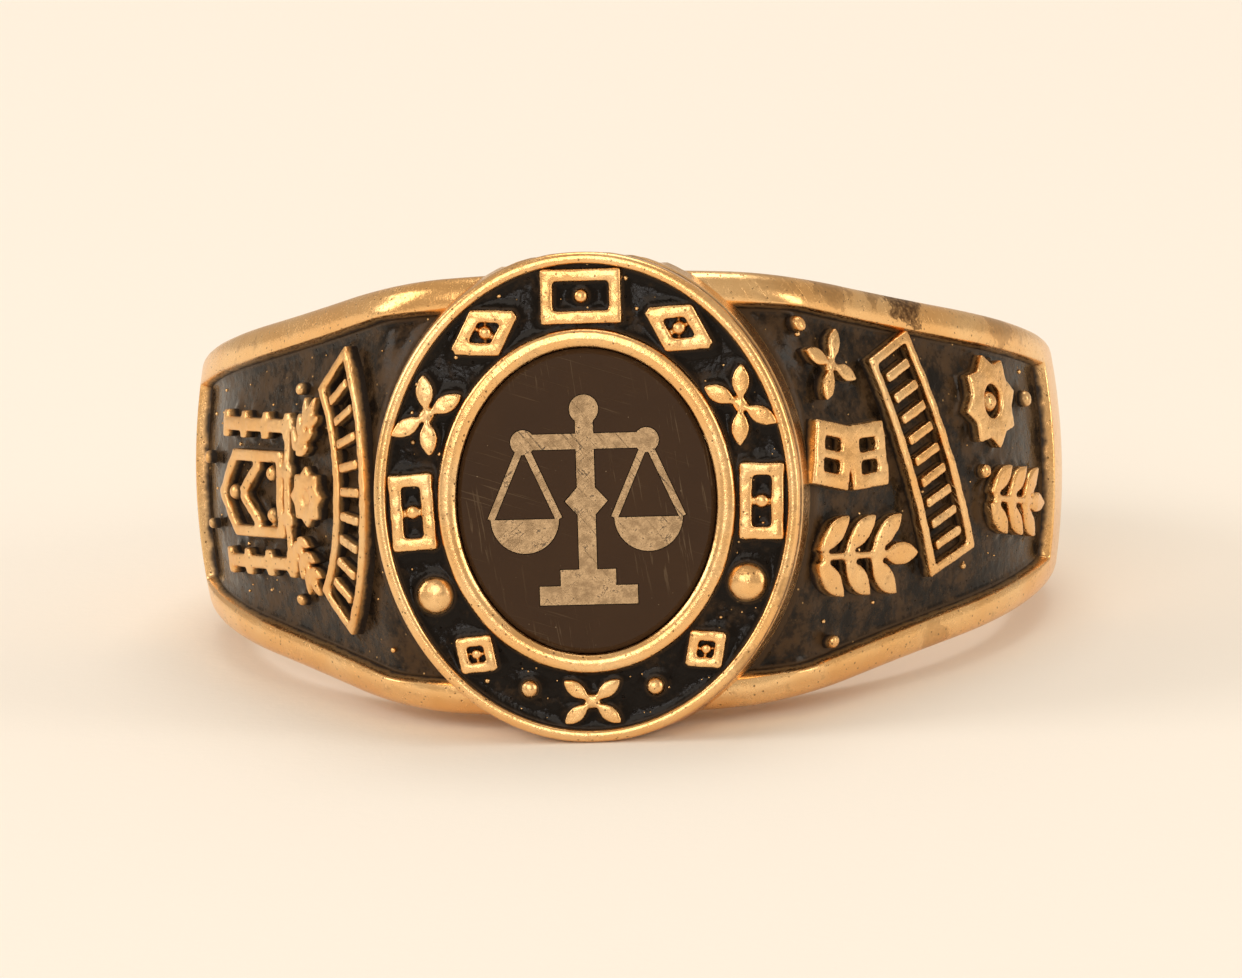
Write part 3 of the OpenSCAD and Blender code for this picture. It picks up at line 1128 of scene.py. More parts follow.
@dataclass
class Sketch:
    """Raised ornaments as overlapping closed solids: X and Y in the surface, Z out of the metal."""

    root: float
    top: float = 0.0
    pip: float = 0.36
    bm: BMesh = field(default_factory=bmesh.new)

    def block_of(self, length: float, width: float, low: float, high: float) -> Matrix:
        """The matrix that makes a unit solid this long and wide, between two levels."""
        size = Matrix.Diagonal((length, width, high - low, 1))
        return Matrix.Translation((0, 0, (low + high) / 2)) @ size

    def bar(self, place: Matrix, length: float, width: float) -> None:
        """A straight bar."""
        shape = place @ self.block_of(length, width, self.root, self.top)
        bmesh.ops.create_cube(self.bm, size=1, matrix=shape)

    def post(self, place: Matrix, length: float, width: float, sides: int, top: float) -> list[Any]:
        """An upright prism.

        Args:
            place: Its place.
            length: Its length.
            width: Its width.
            sides: The number of its sides.
            top: The level of its top.

        Returns:
            Its vertices.
        """
        made = bmesh.ops.create_cone(
            self.bm, cap_ends=True, cap_tris=False, segments=sides, radius1=0.5, radius2=0.5, depth=1,
            matrix=place @ self.block_of(length, width, self.root, top),
        )
        return made["verts"]

    def pearl(self, place: Matrix, size: float) -> None:
        """A round bead with a domed top.

        Args:
            place: Its place.
            size: Its width.
        """
        rise = min(0.24, 0.42 * size)
        self.post(place, size, size, 20, self.top - rise)
        dome = Matrix.Translation((0, 0, self.top - rise)) @ Matrix.Diagonal((size, size, 2 * rise, 1))
        bmesh.ops.create_uvsphere(
            self.bm, u_segments=20, v_segments=12, radius=0.5, matrix=place @ dome
        )

    def leaf(self, place: Matrix, length: float, width: float) -> None:
        """A leaf with two pointed ends.

        Args:
            place: Its place.
            length: Its length.
            width: Its width.
        """
        verts = self.post(Matrix(), 1, 1, 24, self.top)
        for vert in verts:
            angle = math.atan2(vert.co.y, vert.co.x)
            swell = math.copysign(math.sin(angle) ** 2, math.sin(angle))
            vert.co.x, vert.co.y = length / 2 * math.cos(angle), width / 2 * swell
        bmesh.ops.transform(self.bm, matrix=place, verts=verts)

    def frame(self, place: Matrix, length: float, width: float, line: float) -> None:
        """A rectangle drawn with a line.

        Args:
            place: Its place.
            length: Its outer length.
            width: Its outer width.
            line: The width of the line.
        """
        for side in (-1, 1):
            self.bar(place @ at(0, side * (width - line) / 2), length, line)
            self.bar(place @ at(side * (length - line) / 2, 0), line, width)

    def stroke(self, place: Matrix, start: Numbers, end: Numbers, line: float) -> None:
        """A bar between two points.

        Args:
            place: The place that the points are measured from.
            start: The first point.
            end: The second point.
            line: The width of the bar.
        """
        dx, dy = end[0] - start[0], end[1] - start[1]
        middle = at((start[0] + end[0]) / 2, (start[1] + end[1]) / 2, math.degrees(math.atan2(dy, dx)))
        self.bar(place @ middle, math.hypot(dx, dy) + 0.6 * line, line)

    def outline(self, place: Matrix, points: Sequence[Numbers], line: float) -> None:
        """A closed row of bars."""
        for start, end in zip(points, [*points[1:], points[0]]):
            self.stroke(place, start, end, line)

    def block(self, place: Matrix, mark: Mark) -> None:
        """A framed bead with beads on its corners.

        Args:
            place: Its place.
            mark: Its sizes.
        """
        self.frame(place, mark.length, mark.width, mark.line)
        self.pearl(place, self.pip)
        for x in (-1, 1):
            for y in (-1, 1):
                corner = at(x * (mark.length - mark.line) / 2, y * (mark.width - mark.line) / 2)
                self.pearl(place @ corner, 1.3 * mark.line)

    def lozenge(self, place: Matrix, mark: Mark) -> None:
        """A lozenge drawn with a line, round a bead.

        Args:
            place: Its place.
            mark: Its sizes.
        """
        share = 1 - mark.line * math.hypot(mark.length, mark.width) / (mark.length * mark.width)
        x, y = mark.length / 2 * share, mark.width / 2 * share
        self.outline(place, [(x, 0), (0, y), (-x, 0), (0, -y)], mark.line)
        self.pearl(place, self.pip * mark.width / 1.3 * mark.line / 0.3)

    def bloom(self, place: Matrix, mark: Mark) -> None:
        """Four petals round a bead.

        Args:
            place: Its place.
            mark: Its sizes.
        """
        petal = math.hypot(mark.length, mark.width) / 2 - self.pip / 2
        for x in (-1, 1):
            for y in (-1, 1):
                turn = math.degrees(math.atan2(y * mark.width, x * mark.length))
                self.leaf(place @ at(0, 0, turn) @ at(petal / 2 + self.pip / 3, 0), petal, 0.5 * petal)
        self.pearl(place, self.pip * 1.1)

    def star(self, place: Matrix, mark: Mark) -> None:
        """A ring with eight points, round a bead.

        Args:
            place: Its place.
            mark: Its sizes.
        """
        outer, points, bars = 0.36 * mark.length, 8, 24
        middle, point = outer - mark.line / 2, 0.298 * mark.length
        for i in range(bars):
            bar = place @ at(0, 0, 360 / bars * i) @ at(middle, 0)
            self.bar(bar, mark.line + 0.05, middle * math.tau / bars + 0.04)
        for i in range(points):
            self.post(place @ at(0, 0, 360 / points * i) @ at(outer, 0), point, point, 4, self.top)
        self.pearl(place, 0.24 * mark.length)

    def sprig(self, place: Matrix, mark: Mark) -> None:
        """A stem with three pairs of leaves and one at its tip.

        Args:
            place: Its place.
            mark: Its sizes.
        """
        pitch, leaf = mark.length / 4, 0.62 * mark.width
        self.bar(place, mark.length - leaf / 2, self.pip / 2)
        for i in range(3):
            for side in (-1, 1):
                foot = at((i - 0.75) * pitch - mark.length / 8, side * mark.width / 4, side * 38)
                self.leaf(place @ foot, leaf, 0.42 * leaf)
        self.leaf(place @ at((mark.length - leaf) / 2, 0), leaf, 0.42 * leaf)

    def book(self, place: Matrix, mark: Mark) -> None:
        """An open book with a line on each page.

        Args:
            place: Its place.
            mark: Its sizes.
        """
        page = mark.length / 2
        for side in (-1, 1):
            leaf = place @ at(side * page / 2, 0, side * 7)
            self.frame(leaf, page, 0.86 * mark.width, mark.line)
            self.bar(leaf, page - mark.line, 0.6 * mark.line)

    def shield(self, place: Matrix, mark: Mark) -> None:
        """A pointed shield with a chevron and three pellets.

        Args:
            place: Its place.
            mark: Its sizes.
        """
        x, y = (mark.length - mark.line) / 2, (mark.width - mark.line) / 2
        tip = 0.22 * mark.length
        self.outline(place, [(-x, -y), (tip, -y), (x, 0), (tip, y), (-x, y)], mark.line)
        for side in (-1, 1):
            arm = at(-0.02 * mark.length, side * 0.17 * mark.width, side * -40)
            self.bar(place @ arm, 0.34 * mark.length, mark.line)
        for px, py in ((-0.3, -0.24), (-0.3, 0.24), (0.28, 0.0)):
            self.pearl(place @ at(px * mark.length, py * mark.width), 0.4)

    def column(self, place: Matrix, mark: Mark) -> None:
        """A column with four bands.

        Args:
            place: Its place.
            mark: Its sizes.
        """
        self.bar(place, mark.length, 0.5 * mark.width)
        for share in (-0.5, -0.17, 0.17, 0.5):
            self.bar(place @ at(share * (mark.length - mark.line), 0), mark.line, mark.width)

    def draw(self, mark: Mark, place: Matrix) -> None:
        """Draws one ornament.

        Args:
            mark: The ornament.
            place: Its place, which holds instead of its own.
        """
        if mark.kind is Kind.PEARL:
            self.pearl(place, mark.length)
        else:
            getattr(self, mark.kind.value)(place, mark)

    def draw_all(self, marks: Iterable[Mark]) -> None:
        """Draws ornaments at their own places."""
        for mark in marks:
            self.draw(mark, at(mark.x, mark.y, mark.spin))


@dataclass
class Relief:
    """What the reliefs share: their levels, and how their skin is made."""

    voxel: float = 0.04
    rounds: int = 6
    wear: int = 12
    uneven: float = 0.02
    uneven_waves: tuple[float, float] = (2.1, 5.3)
    enamel_level: float = -0.37
    root_level: float = -0.46

    def skin(self, sketch: Sketch) -> tuple[BMesh, BVHTree]:
        """Melts a sketch into one skin, with its hollow attribute.

        Args:
            sketch: The ornaments.

        Returns:
            The skin, still flat, and a tree that finds its nearest point.
        """
        bm = voxel_union(sketch.bm, self.voxel, self.rounds, self.wear)
        for vert in bm.verts:
            broad, fine = (noise.noise(vert.co * wave) for wave in self.uneven_waves)
            vert.co.z += self.uneven * (broad + 0.5 * fine)
        tree = BVHTree.FromBMesh(bm)
        hollow = bm.verts.layers.float.new(HOLLOW)
        for vert in bm.verts:
            vert[hollow] = min(max(vert.co.z / self.enamel_level, 0.0), 1.0)
        return bm, tree


@dataclass
class ShoulderRelief(Relief):
    """The ornaments of one shoulder, with a straight ribbon on the right and a bent one on the left."""

    side: Side = Side.RIGHT
    marks: tuple[Mark, ...] = ()
    hem: float = 0.24
    rung: float = 0.24
    rung_part: float = 0.55
    rungs: int = 10
    bend_pieces: int = 26
    straight_way: tuple[Numbers, ...] = ((3.3, 3.2), (5.35, -2.1))
    straight_width: float = 1.75
    bent_way: tuple[Numbers, ...] = ((1.95, 2.8), (0.95, 0), (2.35, -2.95))
    bent_width: float = 1.5

    def reach_of(self, number: int) -> float:
        """The share of the ribbon's width that a short bar spans; the two end bars close the ribbon."""
        return self.rung_part if 0 < number < self.rungs else 1.0

    def straight_ribbon(self, sketch: Sketch) -> None:
        """Two hems with short bars between them, from one end to the other.

        Args:
            sketch: Where it is drawn.
        """
        ((ax, ay), (bx, by)), width = self.straight_way, self.straight_width
        length, turn = math.hypot(bx - ax, by - ay), math.degrees(math.atan2(by - ay, bx - ax))
        place = at((ax + bx) / 2, (ay + by) / 2, turn)
        for edge in (-1, 1):
            sketch.bar(place @ at(0, edge * (width - self.hem) / 2), length, self.hem)
        for i in range(self.rungs + 1):
            along = (i / self.rungs - 0.5) * (length - self.rung)
            sketch.bar(place @ at(along, 0), self.rung, self.reach_of(i) * width)

    def bent_ribbon(self, sketch: Sketch) -> None:
        """The same ribbon on a circle through three points.

        Args:
            sketch: Where it is drawn.
        """
        ((ax, ay), (bx, by), (cx, cy)), width = self.bent_way, self.bent_width
        d = 2 * (ax * (by - cy) + bx * (cy - ay) + cx * (ay - by))
        a, b, c = ax * ax + ay * ay, bx * bx + by * by, cx * cx + cy * cy
        ox = (a * (by - cy) + b * (cy - ay) + c * (ay - by)) / d
        oy = (a * (cx - bx) + b * (ax - cx) + c * (bx - ax)) / d
        radius = math.hypot(bx - ox, by - oy)
        half = math.degrees(math.asin(math.hypot(cx - ax, cy - ay) / 2 / radius))
        centre, pieces = at(ox, oy, 180), self.bend_pieces
        for edge in (-1, 1):
            r = radius + edge * (width - self.hem) / 2
            for i in range(pieces):
                turn = ((i + 0.5) / pieces * 2 - 1) * half
                long = r * math.radians(2 * half / pieces) + 0.02
                sketch.bar(centre @ at(0, 0, turn) @ at(r, 0), self.hem, long)
        for i in range(self.rungs + 1):
            turn = (2 * i / self.rungs - 1) * (half - 1)
            sketch.bar(centre @ at(0, 0, turn) @ at(radius, 0), self.reach_of(i) * width, self.rung)

    def build(self) -> tuple[BMesh, BVHTree]:
        """Draws the shoulder's ornaments, melts them and lays them on the shoulder.

        Returns:
            The relief, and a tree that finds the nearest point of its flat skin.
        """
        sketch = Sketch(self.root_level)
        sketch.draw_all(self.marks)
        if self.side is Side.RIGHT:
            self.straight_ribbon(sketch)
        else:
            self.bent_ribbon(sketch)
        bm, tree = self.skin(sketch)
        for vert in bm.verts:
            vert.co = BAND.on_shoulder(vert.co, self.side)
        return bm, tree


@dataclass
class HeadRelief(Relief):
    """The ornaments of the black field round the stone, where a mark's x is its turn in degrees."""

    voxel: float = 0.036
    marks: tuple[Mark, ...] = ()

    def build(self) -> tuple[BMesh, BVHTree]:
        """Draws the marks round the field, melts them and raises them to the head's face.

        Returns:
            The relief, and a tree that finds the nearest point of its flat skin.
        """
        sketch = Sketch(self.root_level)
        for mark in self.marks:
            x, y = HEAD.mark_place(math.radians(mark.x))
            sketch.draw(mark, at(x, y, -mark.x))
        bm, tree = self.skin(sketch)
        for vert in bm.verts:
            vert.co = HEAD.face(vert.co.x, vert.co.y, vert.co.z)
        return bm, tree


RIGHT_MARKS = (
    Mark(Kind.BLOOM, 1.1, 2.85, 1.4, 1.4, 0.3, 20),
    Mark(Kind.BOOK, 1.4, 0.7, 2.7, 1.8, 0.36, -4),
    Mark(Kind.SPRIG, 2.0, -1.7, 4.0, 2.2, 0.3, -2),
    Mark(Kind.STAR, 7.1, 1.65, 2.3, 2.3, 0.4, 10),
    Mark(Kind.SPRIG, 8.3, -0.8, 3.3, 1.9, 0.3, -6),
    Mark(Kind.PEARL, 0.3, 3.85, 0.4, 0.4),
    Mark(Kind.PEARL, 1.2, -3.7, 0.34, 0.34),
    Mark(Kind.PEARL, 4.2, 3.8, 0.3, 0.3),
    Mark(Kind.PEARL, 9.2, 1.6, 0.42, 0.42),
    Mark(Kind.PEARL, 6.7, 0.0, 0.36, 0.36),
)
LEFT_MARKS = (
    Mark(Kind.STAR, 3.1, -0.05, 1.5, 1.5, 0.3),
    Mark(Kind.SHIELD, 5.95, -0.05, 3.4, 2.1, 0.28),
    Mark(Kind.COLUMN, 5.7, 1.6, 3.5, 0.66, 0.28),
    Mark(Kind.COLUMN, 5.7, -1.7, 3.5, 0.66, 0.28),
    Mark(Kind.COLUMN, 4.04, -0.05, 3.7, 0.46, 0.3, 90),
    Mark(Kind.SPRIG, 3.2, 1.62, 1.7, 1.0, 0.3, 122),
    Mark(Kind.SPRIG, 3.3, -1.72, 1.7, 1.0, 0.3, -122),
    Mark(Kind.PEARL, 3.7, 2.5, 0.32, 0.32),
    Mark(Kind.PEARL, 4.0, -2.55, 0.3, 0.3),
    Mark(Kind.PEARL, 9.1, 0.7, 0.34, 0.34),
    Mark(Kind.PEARL, 8.9, -0.9, 0.28, 0.28),
)
HEAD_MARKS = (
    Mark(Kind.BLOCK, -93, 0, 1.8, 1.04),
    Mark(Kind.BLOOM, -61, 0, 1.75, 1.1),
    Mark(Kind.LOZENGE, -30, 0, 2.0, 1.28),
    Mark(Kind.BLOCK, 0, 0, 1.9, 1.28),
    Mark(Kind.LOZENGE, 30, 0, 2.0, 1.28),
    Mark(Kind.BLOOM, 60, 0, 1.75, 1.1),
    Mark(Kind.BLOCK, 92, 0, 1.8, 1.04),
    Mark(Kind.PEARL, -121, 0, 0.92, 0.92),
    Mark(Kind.PEARL, 119, 0, 0.96, 0.96),
    Mark(Kind.LOZENGE, -143, 0, 1.3, 1.16, 0.24),
    Mark(Kind.BLOOM, 180, 0, 1.45, 1.1),
    Mark(Kind.LOZENGE, 143, 0, 1.3, 1.16, 0.24),
    Mark(Kind.PEARL, -161.5, 0, 0.46, 0.46),
    Mark(Kind.PEARL, 161.5, 0, 0.46, 0.46),
)


# Enamel and beads


@dataclass
class Enamel:
    """Black enamel on a sunk floor, which creeps up everything that it touches."""

    thick: float = 0.13
    below: float = 0.1
    creep: float = 0.075
    creep_width: float = 0.1
    creep_power: float = 1.3
    stain_width: float = 0.16
    search: float = 0.6
    probe: float = 0.02

    def rise(self, apart: float) -> float:
        """How far the enamel has crept up, at a distance from the metal."""
        return self.creep * math.exp(-((max(apart, 0.0) / self.creep_width) ** self.creep_power))

    def nearest(self, walls: Sequence[float], flat: Vector, metal: BVHTree) -> float:
        """Distance to the nearest metal.

        Args:
            walls: Distances to the walls of the recess.
            flat: The point among the flat ornaments.
            metal: Those ornaments.

        Returns:
            The least of the distances.
        """
        found = metal.find_nearest(flat, self.search)
        return min(walls) if found[0] is None else min(*walls, found[3])

    def close(
        self, bm: BMesh, lift: dict[int, float], low: Callable[[Vector], Vector],
        high: Callable[[Vector, float], Vector],
    ) -> None:
        """Gives a flat sheet its thickness and lays both of its faces in place.

        Args:
            bm: The sheet.
            lift: How far each vertex of its upper face has crept up.
            low: Places a vertex of the lower face.
            high: Places a vertex of the upper face, given its creep.
        """
        upper = bm.verts[:]
        made = bmesh.ops.extrude_face_region(bm, geom=bm.faces[:], use_keep_orig=True)
        for vert in [v for v in made["geom"] if isinstance(v, bmesh.types.BMVert)]:
            vert.co = low(vert.co)
        for vert in upper:
            vert.co = high(vert.co, lift[vert.index])


@dataclass
class ShoulderEnamel(Enamel):
    """The enamel of one shoulder panel, from under the head to the end of the panel."""

    side: Side = Side.RIGHT
    near_turn: float = math.radians(15)
    columns: int = 150
    rows: int = 128
    tuck: float = 0.05
    wall_margin: float = 0.89
    end_margin: float = 0.06
    head_margin: float = 0.2

    def build(self, metal: BVHTree) -> BMesh:
        """Makes the sheet round the ornaments.

        Args:
            metal: The flat ornaments.

        Returns:
            The closed sheet.
        """
        shape, bm = BAND, bmesh.new()
        hollow = bm.verts.layers.float.new(HOLLOW)
        bmesh.ops.create_grid(bm, x_segments=self.columns, y_segments=self.rows, size=1)
        level, far_turn = self.thick - shape.panel_d, shape.panel_turn
        foot = HEAD.lip_a + self.head_margin
        bm.verts.ensure_lookup_table()
        bm.verts.index_update()
        lift: dict[int, float] = {}
        for vert in bm.verts:
            turn = self.near_turn + (vert.co.x + 1) / 2 * (far_turn - self.near_turn)
            edge = shape.along_side(turn, self.wall_margin, level).z
            z = vert.co.y * (edge + self.tuck)
            x = shape.outside(turn, z, level).x
            walls = [
                edge - abs(z),
                (far_turn - turn) * shape.band_r - self.end_margin,
                (math.hypot(x / foot, z / (foot + HEAD.long)) - 1) * foot,
            ]
            apart = self.nearest(walls, Vector((shape.way_of(turn, z), z, level + self.probe)), metal)
            lift[vert.index] = self.rise(apart)
            vert[hollow] = fade(apart, self.stain_width, 0.0)
            vert.co = (turn, z, 0)

        def laid(co: Vector, out: float) -> Vector:
            """Lays a point of the sheet, given as its turn and height, on the shoulder."""
            point = shape.outside(co.x, co.y, out)
            return Vector((self.side.value * point.x, point.y, point.z))

        self.close(
            bm, lift, lambda co: laid(co, level - self.below), lambda co, up: laid(co, level + up)
        )
        return bm


@dataclass
class HeadEnamel(Enamel):
    """The enamel of the field round the stone."""

    steps: int = 400
    rings: int = 26
    tuck: float = 0.04

    def build(self, metal: BVHTree) -> BMesh:
        """Makes the sheet round the marks, from the bezel to the lip.

        Args:
            metal: The flat marks.

        Returns:
            The closed sheet.
        """
        inner, outer = HEAD.bezel_a - self.tuck, HEAD.field_a + self.tuck
        widths = [inner + (outer - inner) * i / (self.rings - 1) for i in range(self.rings)]
        bm, label = spun([(r, 0, 0) for r in widths], (0, 0, 1), self.steps, False)
        hollow = bm.verts.layers.float.new(HOLLOW)
        bm.verts.ensure_lookup_table()
        bm.verts.index_update()
        level = self.thick - HEAD.field_d
        lift: dict[int, float] = {}
        for vert in bm.verts:
            r = widths[vert[label] - 1]
            x, z = HEAD.oval(r, math.atan2(vert.co.y, vert.co.x))
            walls = [r - HEAD.bezel_a, HEAD.field_a - r]
            apart = self.nearest(walls, Vector((x, z, level + self.probe)), metal)
            lift[vert.index] = self.rise(apart)
            vert[hollow] = fade(apart, self.stain_width, 0.0)
            vert.co = HEAD.face(x, z, level)
        self.close(
            bm, lift, lambda co: co + Vector((0, self.below, 0)), lambda co, up: co - Vector((0, up, 0))
        )
        return bm


@dataclass
class CastingBeads:
    """Tiny beads of gold that the casting left in the enamel.

    On a shoulder they reach to far_way from the crest, and half_height from the middle, less taper for
    each millimetre of the way.
    """

    seed: int = 11
    on_shoulder: int = 34
    on_head: int = 56
    smallest: float = 0.022
    largest: float = 0.085
    level: float = -0.37
    far_way: float = 9.6
    half_height: float = 4.0
    taper: float = 0.17

    def bead(self, bm: BMesh, place: Vector, size: float) -> None:
        """Adds one bead."""
        shape = Matrix.Translation(place) @ Matrix.Diagonal((size, size, size, 1))
        bmesh.ops.create_icosphere(bm, subdivisions=2, radius=1, matrix=shape)

    def draw_size(self, draw: random.Random) -> float:
        """A radius; small ones are more common."""
        return self.smallest + (self.largest - self.smallest) * draw.random() ** 3

    def build(self) -> BMesh:
        """Scatters the beads, the same way each time.

        Returns:
            The beads.
        """
        draw, bm = random.Random(self.seed), bmesh.new()
        for side in Side:
            for _ in range(self.on_shoulder):
                way, share = draw.uniform(0.0, self.far_way), draw.uniform(-0.95, 0.95)
                size = self.draw_size(draw)
                z = share * (self.half_height - self.taper * way)
                self.bead(bm, BAND.on_shoulder(Vector((way, z, self.level)), side), size)
        for _ in range(self.on_head):
            angle, share = draw.uniform(0, math.tau), draw.uniform(0.06, 0.94)
            size = self.draw_size(draw)
            x, z = HEAD.oval(HEAD.bezel_a + (HEAD.field_a - HEAD.bezel_a) * share, angle)
            self.bead(bm, HEAD.face(x, z, self.level), size)
        return bm


# Studio


@dataclass(frozen=True)
class SoftBox:
    """A soft light: where it stands from the ring's middle, its size, its power and its colour."""

    name: str
    place: tuple[float, float, float]
    size: tuple[float, float]
    power: float
    tint: tuple[float, float, float]


@dataclass
class Studio:
    """A pale floor, soft lights, and the camera at the photograph's angle.

    The camera's distance and the width of a pixel at the ring are in millimetres. Its picture's size and
    the pixel that the ring's centre falls on are the photograph's.
    """

    centre: tuple[float, float, float] = (0.0, 0.0, 0.005)
    floor_size: float = 6.0
    room: Colour = colour(1.0, 0.865, 0.70)
    room_strength: float = 0.58
    away: float = 260.0
    azimuth: float = math.radians(4.8)
    elevation: float = math.radians(3.2)
    roll: float = math.radians(1.7)
    pixel: float = 0.0245
    picture: tuple[int, int] = (1242, 978)
    aim: tuple[float, float] = (629.0, 468.0)
    sensor: float = 36.0
    clip: tuple[float, float] = (0.005, 50.0)
    boxes: tuple[SoftBox, ...] = (
        SoftBox("key_lamp", (-0.09, -0.78, 0.175), (0.15, 0.07), 0.25, (1.0, 0.97, 0.95)),
        SoftBox("front_soft_box", (-0.16, -0.75, 0.42), (0.5, 0.34), 1.5, (1.0, 0.91, 0.80)),
        SoftBox("left_soft_box", (-0.62, -0.10, 0.34), (0.34, 0.4), 1.5, (1.0, 0.93, 0.84)),
        SoftBox("right_soft_box", (0.62, -0.22, 0.22), (0.22, 0.4), 1.0, (1.0, 0.91, 0.80)),
        SoftBox("top_soft_box", (0.05, 0.25, 0.80), (0.5, 0.5), 2.2, (1.0, 0.94, 0.86)),
    )

    def floor(self) -> None:
        """Lays the floor."""
        bm = bmesh.new()
        bmesh.ops.create_grid(bm, x_segments=8, y_segments=8, size=self.floor_size)
        piece = meshed("studio_floor", bm)
        piece.data.materials.append(PaleGround().material())

    def lights(self) -> None:
        """Hangs the soft boxes, each facing the ring, and sets the room's own light."""
        for box in self.boxes:
            lamp = bpy.data.lights.new(box.name, "AREA")
            lamp.shape = "RECTANGLE"
            lamp.size, lamp.size_y = box.size
            lamp.energy = box.power
            lamp.color = box.tint
            holder = in_scene(box.name, lamp)
            holder.location = Vector(self.centre) + Vector(box.place)
            holder.rotation_euler = (-Vector(box.place)).to_track_quat("-Z", "Y").to_euler()
        world = bpy.data.worlds.new("studio_room")
        bpy.context.scene.world = world
        world.use_nodes = True
        background = world.node_tree.nodes["Background"]
        background.inputs["Color"].default_value = self.room
        background.inputs["Strength"].default_value = self.room_strength
        bpy.context.scene.view_settings.view_transform = "Standard"

    def camera(self) -> None:
        """Sets the camera where the photograph was taken from, in the ring's own frame."""
        across, along = math.cos(self.azimuth), math.sin(self.azimuth)
        level, rise = math.cos(self.elevation), math.sin(self.elevation)
        back = Vector((along * level, -across * level, rise))
        right = Vector((across, along, 0))
        up = back.cross(right)
        level_right = right * math.cos(self.roll) - up * math.sin(self.roll)
        level_up = right * math.sin(self.roll) + up * math.cos(self.roll)
        off_x = (self.picture[0] / 2 - self.aim[0]) * self.pixel
        off_y = (self.aim[1] - self.picture[1] / 2) * self.pixel
        place = back * self.away + level_right * off_x + level_up * off_y
        axes = [REST.direction(way) for way in (level_right, level_up, back)]
        lens = bpy.data.cameras.new("photo_camera")
        lens.sensor_width = self.sensor
        lens.lens = self.sensor * self.away / (self.picture[0] * self.pixel)
        lens.clip_start, lens.clip_end = self.clip
        lens.dof.use_dof = False
        holder = in_scene("photo_camera", lens)
        turned = Matrix(axes).transposed().to_4x4()
        holder.matrix_world = Matrix.Translation(REST.matrix() @ place) @ turned
        bpy.context.scene.camera = holder

    def build(self) -> None:
        """Builds the studio."""
        self.floor()
        self.lights()
        self.camera()


# The ring


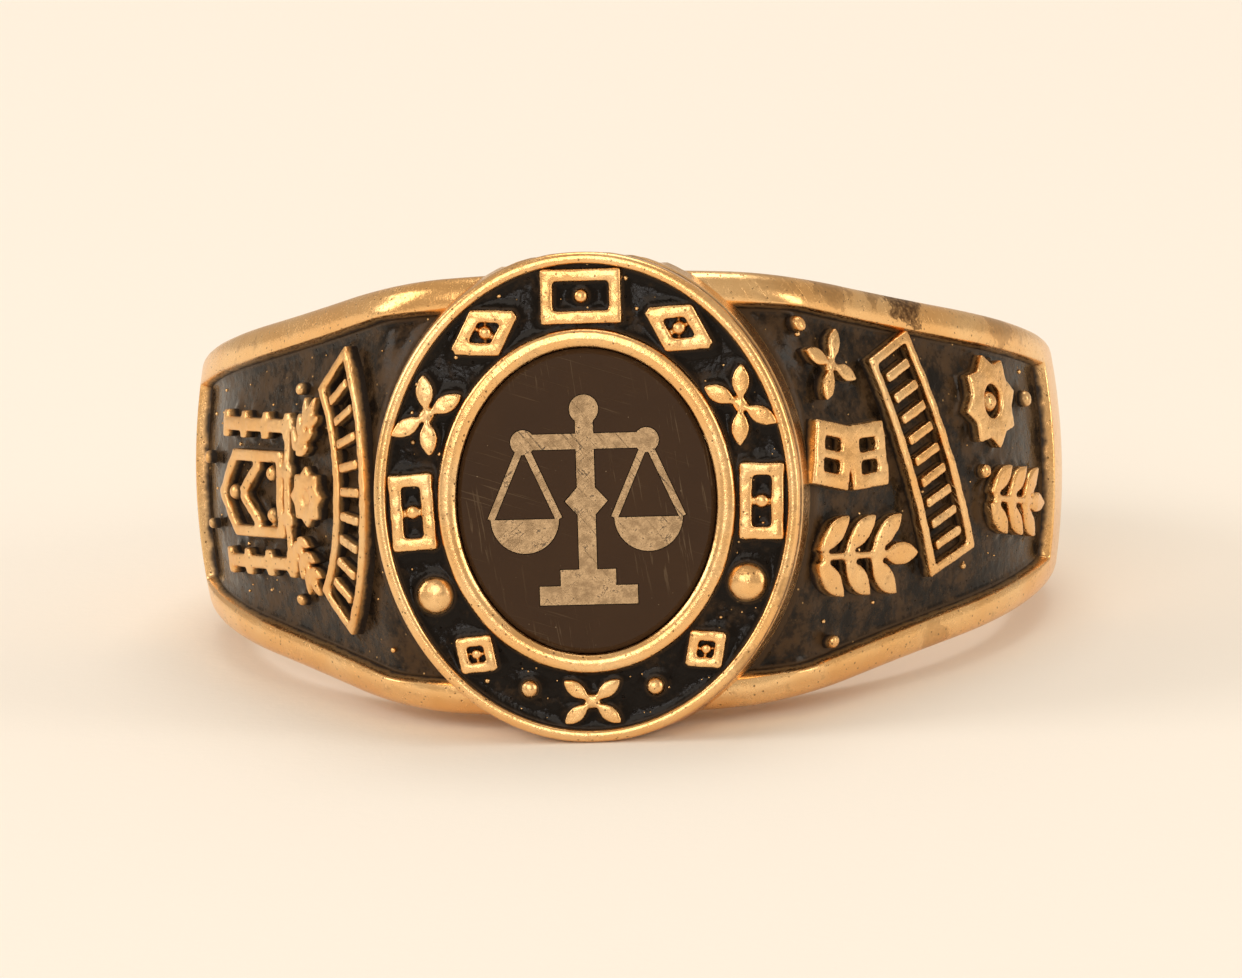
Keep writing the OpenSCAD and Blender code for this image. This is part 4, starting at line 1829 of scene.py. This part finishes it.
@dataclass
class ClassRing:
    """The whole ring, piece by piece.

    The casting's hollow attribute grows between the two depths of field_depths in the head's field, over
    panel_depth in a panel, and to ledge_share within the two distances of ledge_reach from a line that
    lies ledge_drop below the foot of the lip. The field is sought only farther from the finger's axis than
    field_from, and a panel only nearer than panel_to, both along -Y. Heights count up to widest.
    """

    cast_gold: WornGold = WornGold(
        "worn_gold",
        # These brown spots are part tarnish and part painted reflection of a dark surround.
        spots=(
            TarnishAndPaintedReflection((7.3, -7.05, 4.25), 0.72, 1.0),
            TarnishAndPaintedReflection((9.38, -4.04, 3.5), 0.6, 0.4),
            TarnishAndPaintedReflection((6.6, -7.9, 4.75), 0.6, 0.55),
            TarnishAndPaintedReflection((5.6, -9.0, 4.95), 0.8, 0.45),
            TarnishAndPaintedReflection((4.4, -10.1, 5.15), 0.7, 0.3),
            TarnishAndPaintedReflection((7.75, -6.57, -3.9), 0.55, 0.3),
            TarnishAndPaintedReflection((4.95, -12.0, -2.3), 0.75, 0.4),
            TarnishAndPaintedReflection((3.9, -12.1, -4.2), 0.7, 0.35),
        ),
    )
    relief_gold: WornGold = WornGold(
        "relief_gold", rough=0.27, grain=0.016, residue_start=0.36, residue_end=0.8
    )
    dull_gold: WornGold = WornGold(
        "dull_relief_gold", rough=0.33, grain=0.032, residue_start=0.16, residue_end=0.62
    )
    head_black: PooledEnamel = PooledEnamel("pooled_enamel")
    panel_black: PooledEnamel = PooledEnamel(
        "soiled_enamel", soil_start=0.38, soil_end=0.64, soil_share=0.75, gloss=0.16
    )
    field_depths: tuple[float, float] = (0.06, 0.34)
    field_margin: float = 0.01
    field_from: float = 11.0
    panel_depth: float = 0.4
    panel_margin: float = 0.72
    panel_to: float = 12.0
    widest: float = 6.0
    bore_margin: float = 0.05
    ledge_drop: float = 0.02
    ledge_share: float = 0.7
    ledge_reach: tuple[float, float] = (0.09, 0.02)

    def casting(self) -> None:
        """The shank and the head."""
        gold = self.cast_gold.material()
        for name, bm in (("shank", Shank().build()), ("head", Head().build())):
            self.shade(bm)
            ring_piece(name, bm, gold, "ring_casting")

    def shade(self, bm: BMesh) -> None:
        """Gives the casting its hollow attribute, from how deep each vertex lies below the outside.

        Args:
            bm: A mesh of the casting, in the ring's own frame.
        """
        hollow = bm.verts.layers.float.new(HOLLOW)
        wide = HEAD.field_a + self.field_margin
        for vert in bm.verts:
            x, y, z = vert.co
            turn, away = math.atan2(abs(x), -y), math.hypot(x, y)
            in_field = math.hypot(x / wide, z / (wide + HEAD.long)) < 1 and -y > self.field_from
            sunk = fade(HEAD.top + y, *self.field_depths) if in_field else 0.0
            in_panel = abs(z) < BAND.half_height(y, self.panel_margin) and turn < BAND.panel_turn
            panel = 0.0
            if in_panel and away >= BAND.bore_r + self.bore_margin and -y < self.panel_to:
                level = away - BAND.radius(turn, min(abs(z), self.widest), 0.0)
                panel = min(max(-level / self.panel_depth, 0.0), 1.0)
            height = -y + (x * x + z * z) / (2 * HEAD.dome_r)
            ledge = fade(abs(height - HEAD.top + HEAD.lip_h + self.ledge_drop), *self.ledge_reach)
            vert[hollow] = max(sunk, panel, self.ledge_share * ledge)

    def relief(self) -> None:
        """The ornaments, and the enamel round them."""
        gold, black = self.relief_gold.material(), self.head_black.material()
        dull, soiled = self.dull_gold.material(), self.panel_black.material()
        bm, tree = HeadRelief(marks=HEAD_MARKS).build()
        ring_piece("head_marks", bm, gold, "ring_casting")
        ring_piece("head_pool", HeadEnamel().build(tree), black, "head_enamel")
        for side, marks, metal in ((Side.RIGHT, RIGHT_MARKS, gold), (Side.LEFT, LEFT_MARKS, dull)):
            name = side.name.lower()
            bm, tree = ShoulderRelief(side=side, marks=marks).build()
            ring_piece(f"{name}_relief", bm, metal, "ring_casting")
            pool = ShoulderEnamel(side=side).build(tree)
            ring_piece(f"{name}_pool", pool, soiled, f"{name}_enamel")
        ring_piece("casting_beads", CastingBeads().build(), gold, "ring_casting")

    def tablet(self) -> None:
        """The stone and its inlay, which stay as they are in the frame."""
        for name, finish in (("stone", RubbedOnyx()), ("stone_inlay", RubbedLeaf())):
            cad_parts[name].material_slots[0].material = finish.material()
            LOG.info("%s: dressed", name)

    def build(self) -> None:
        """Builds and dresses every piece."""
        self.casting()
        self.relief()
        self.tablet()


def main() -> None:
    """Builds the ring and its studio."""
    logging.basicConfig(level=logging.INFO, format="%(name)s %(message)s")
    ClassRing().build()
    Studio().build()


if __name__ == "__main__":
    main()
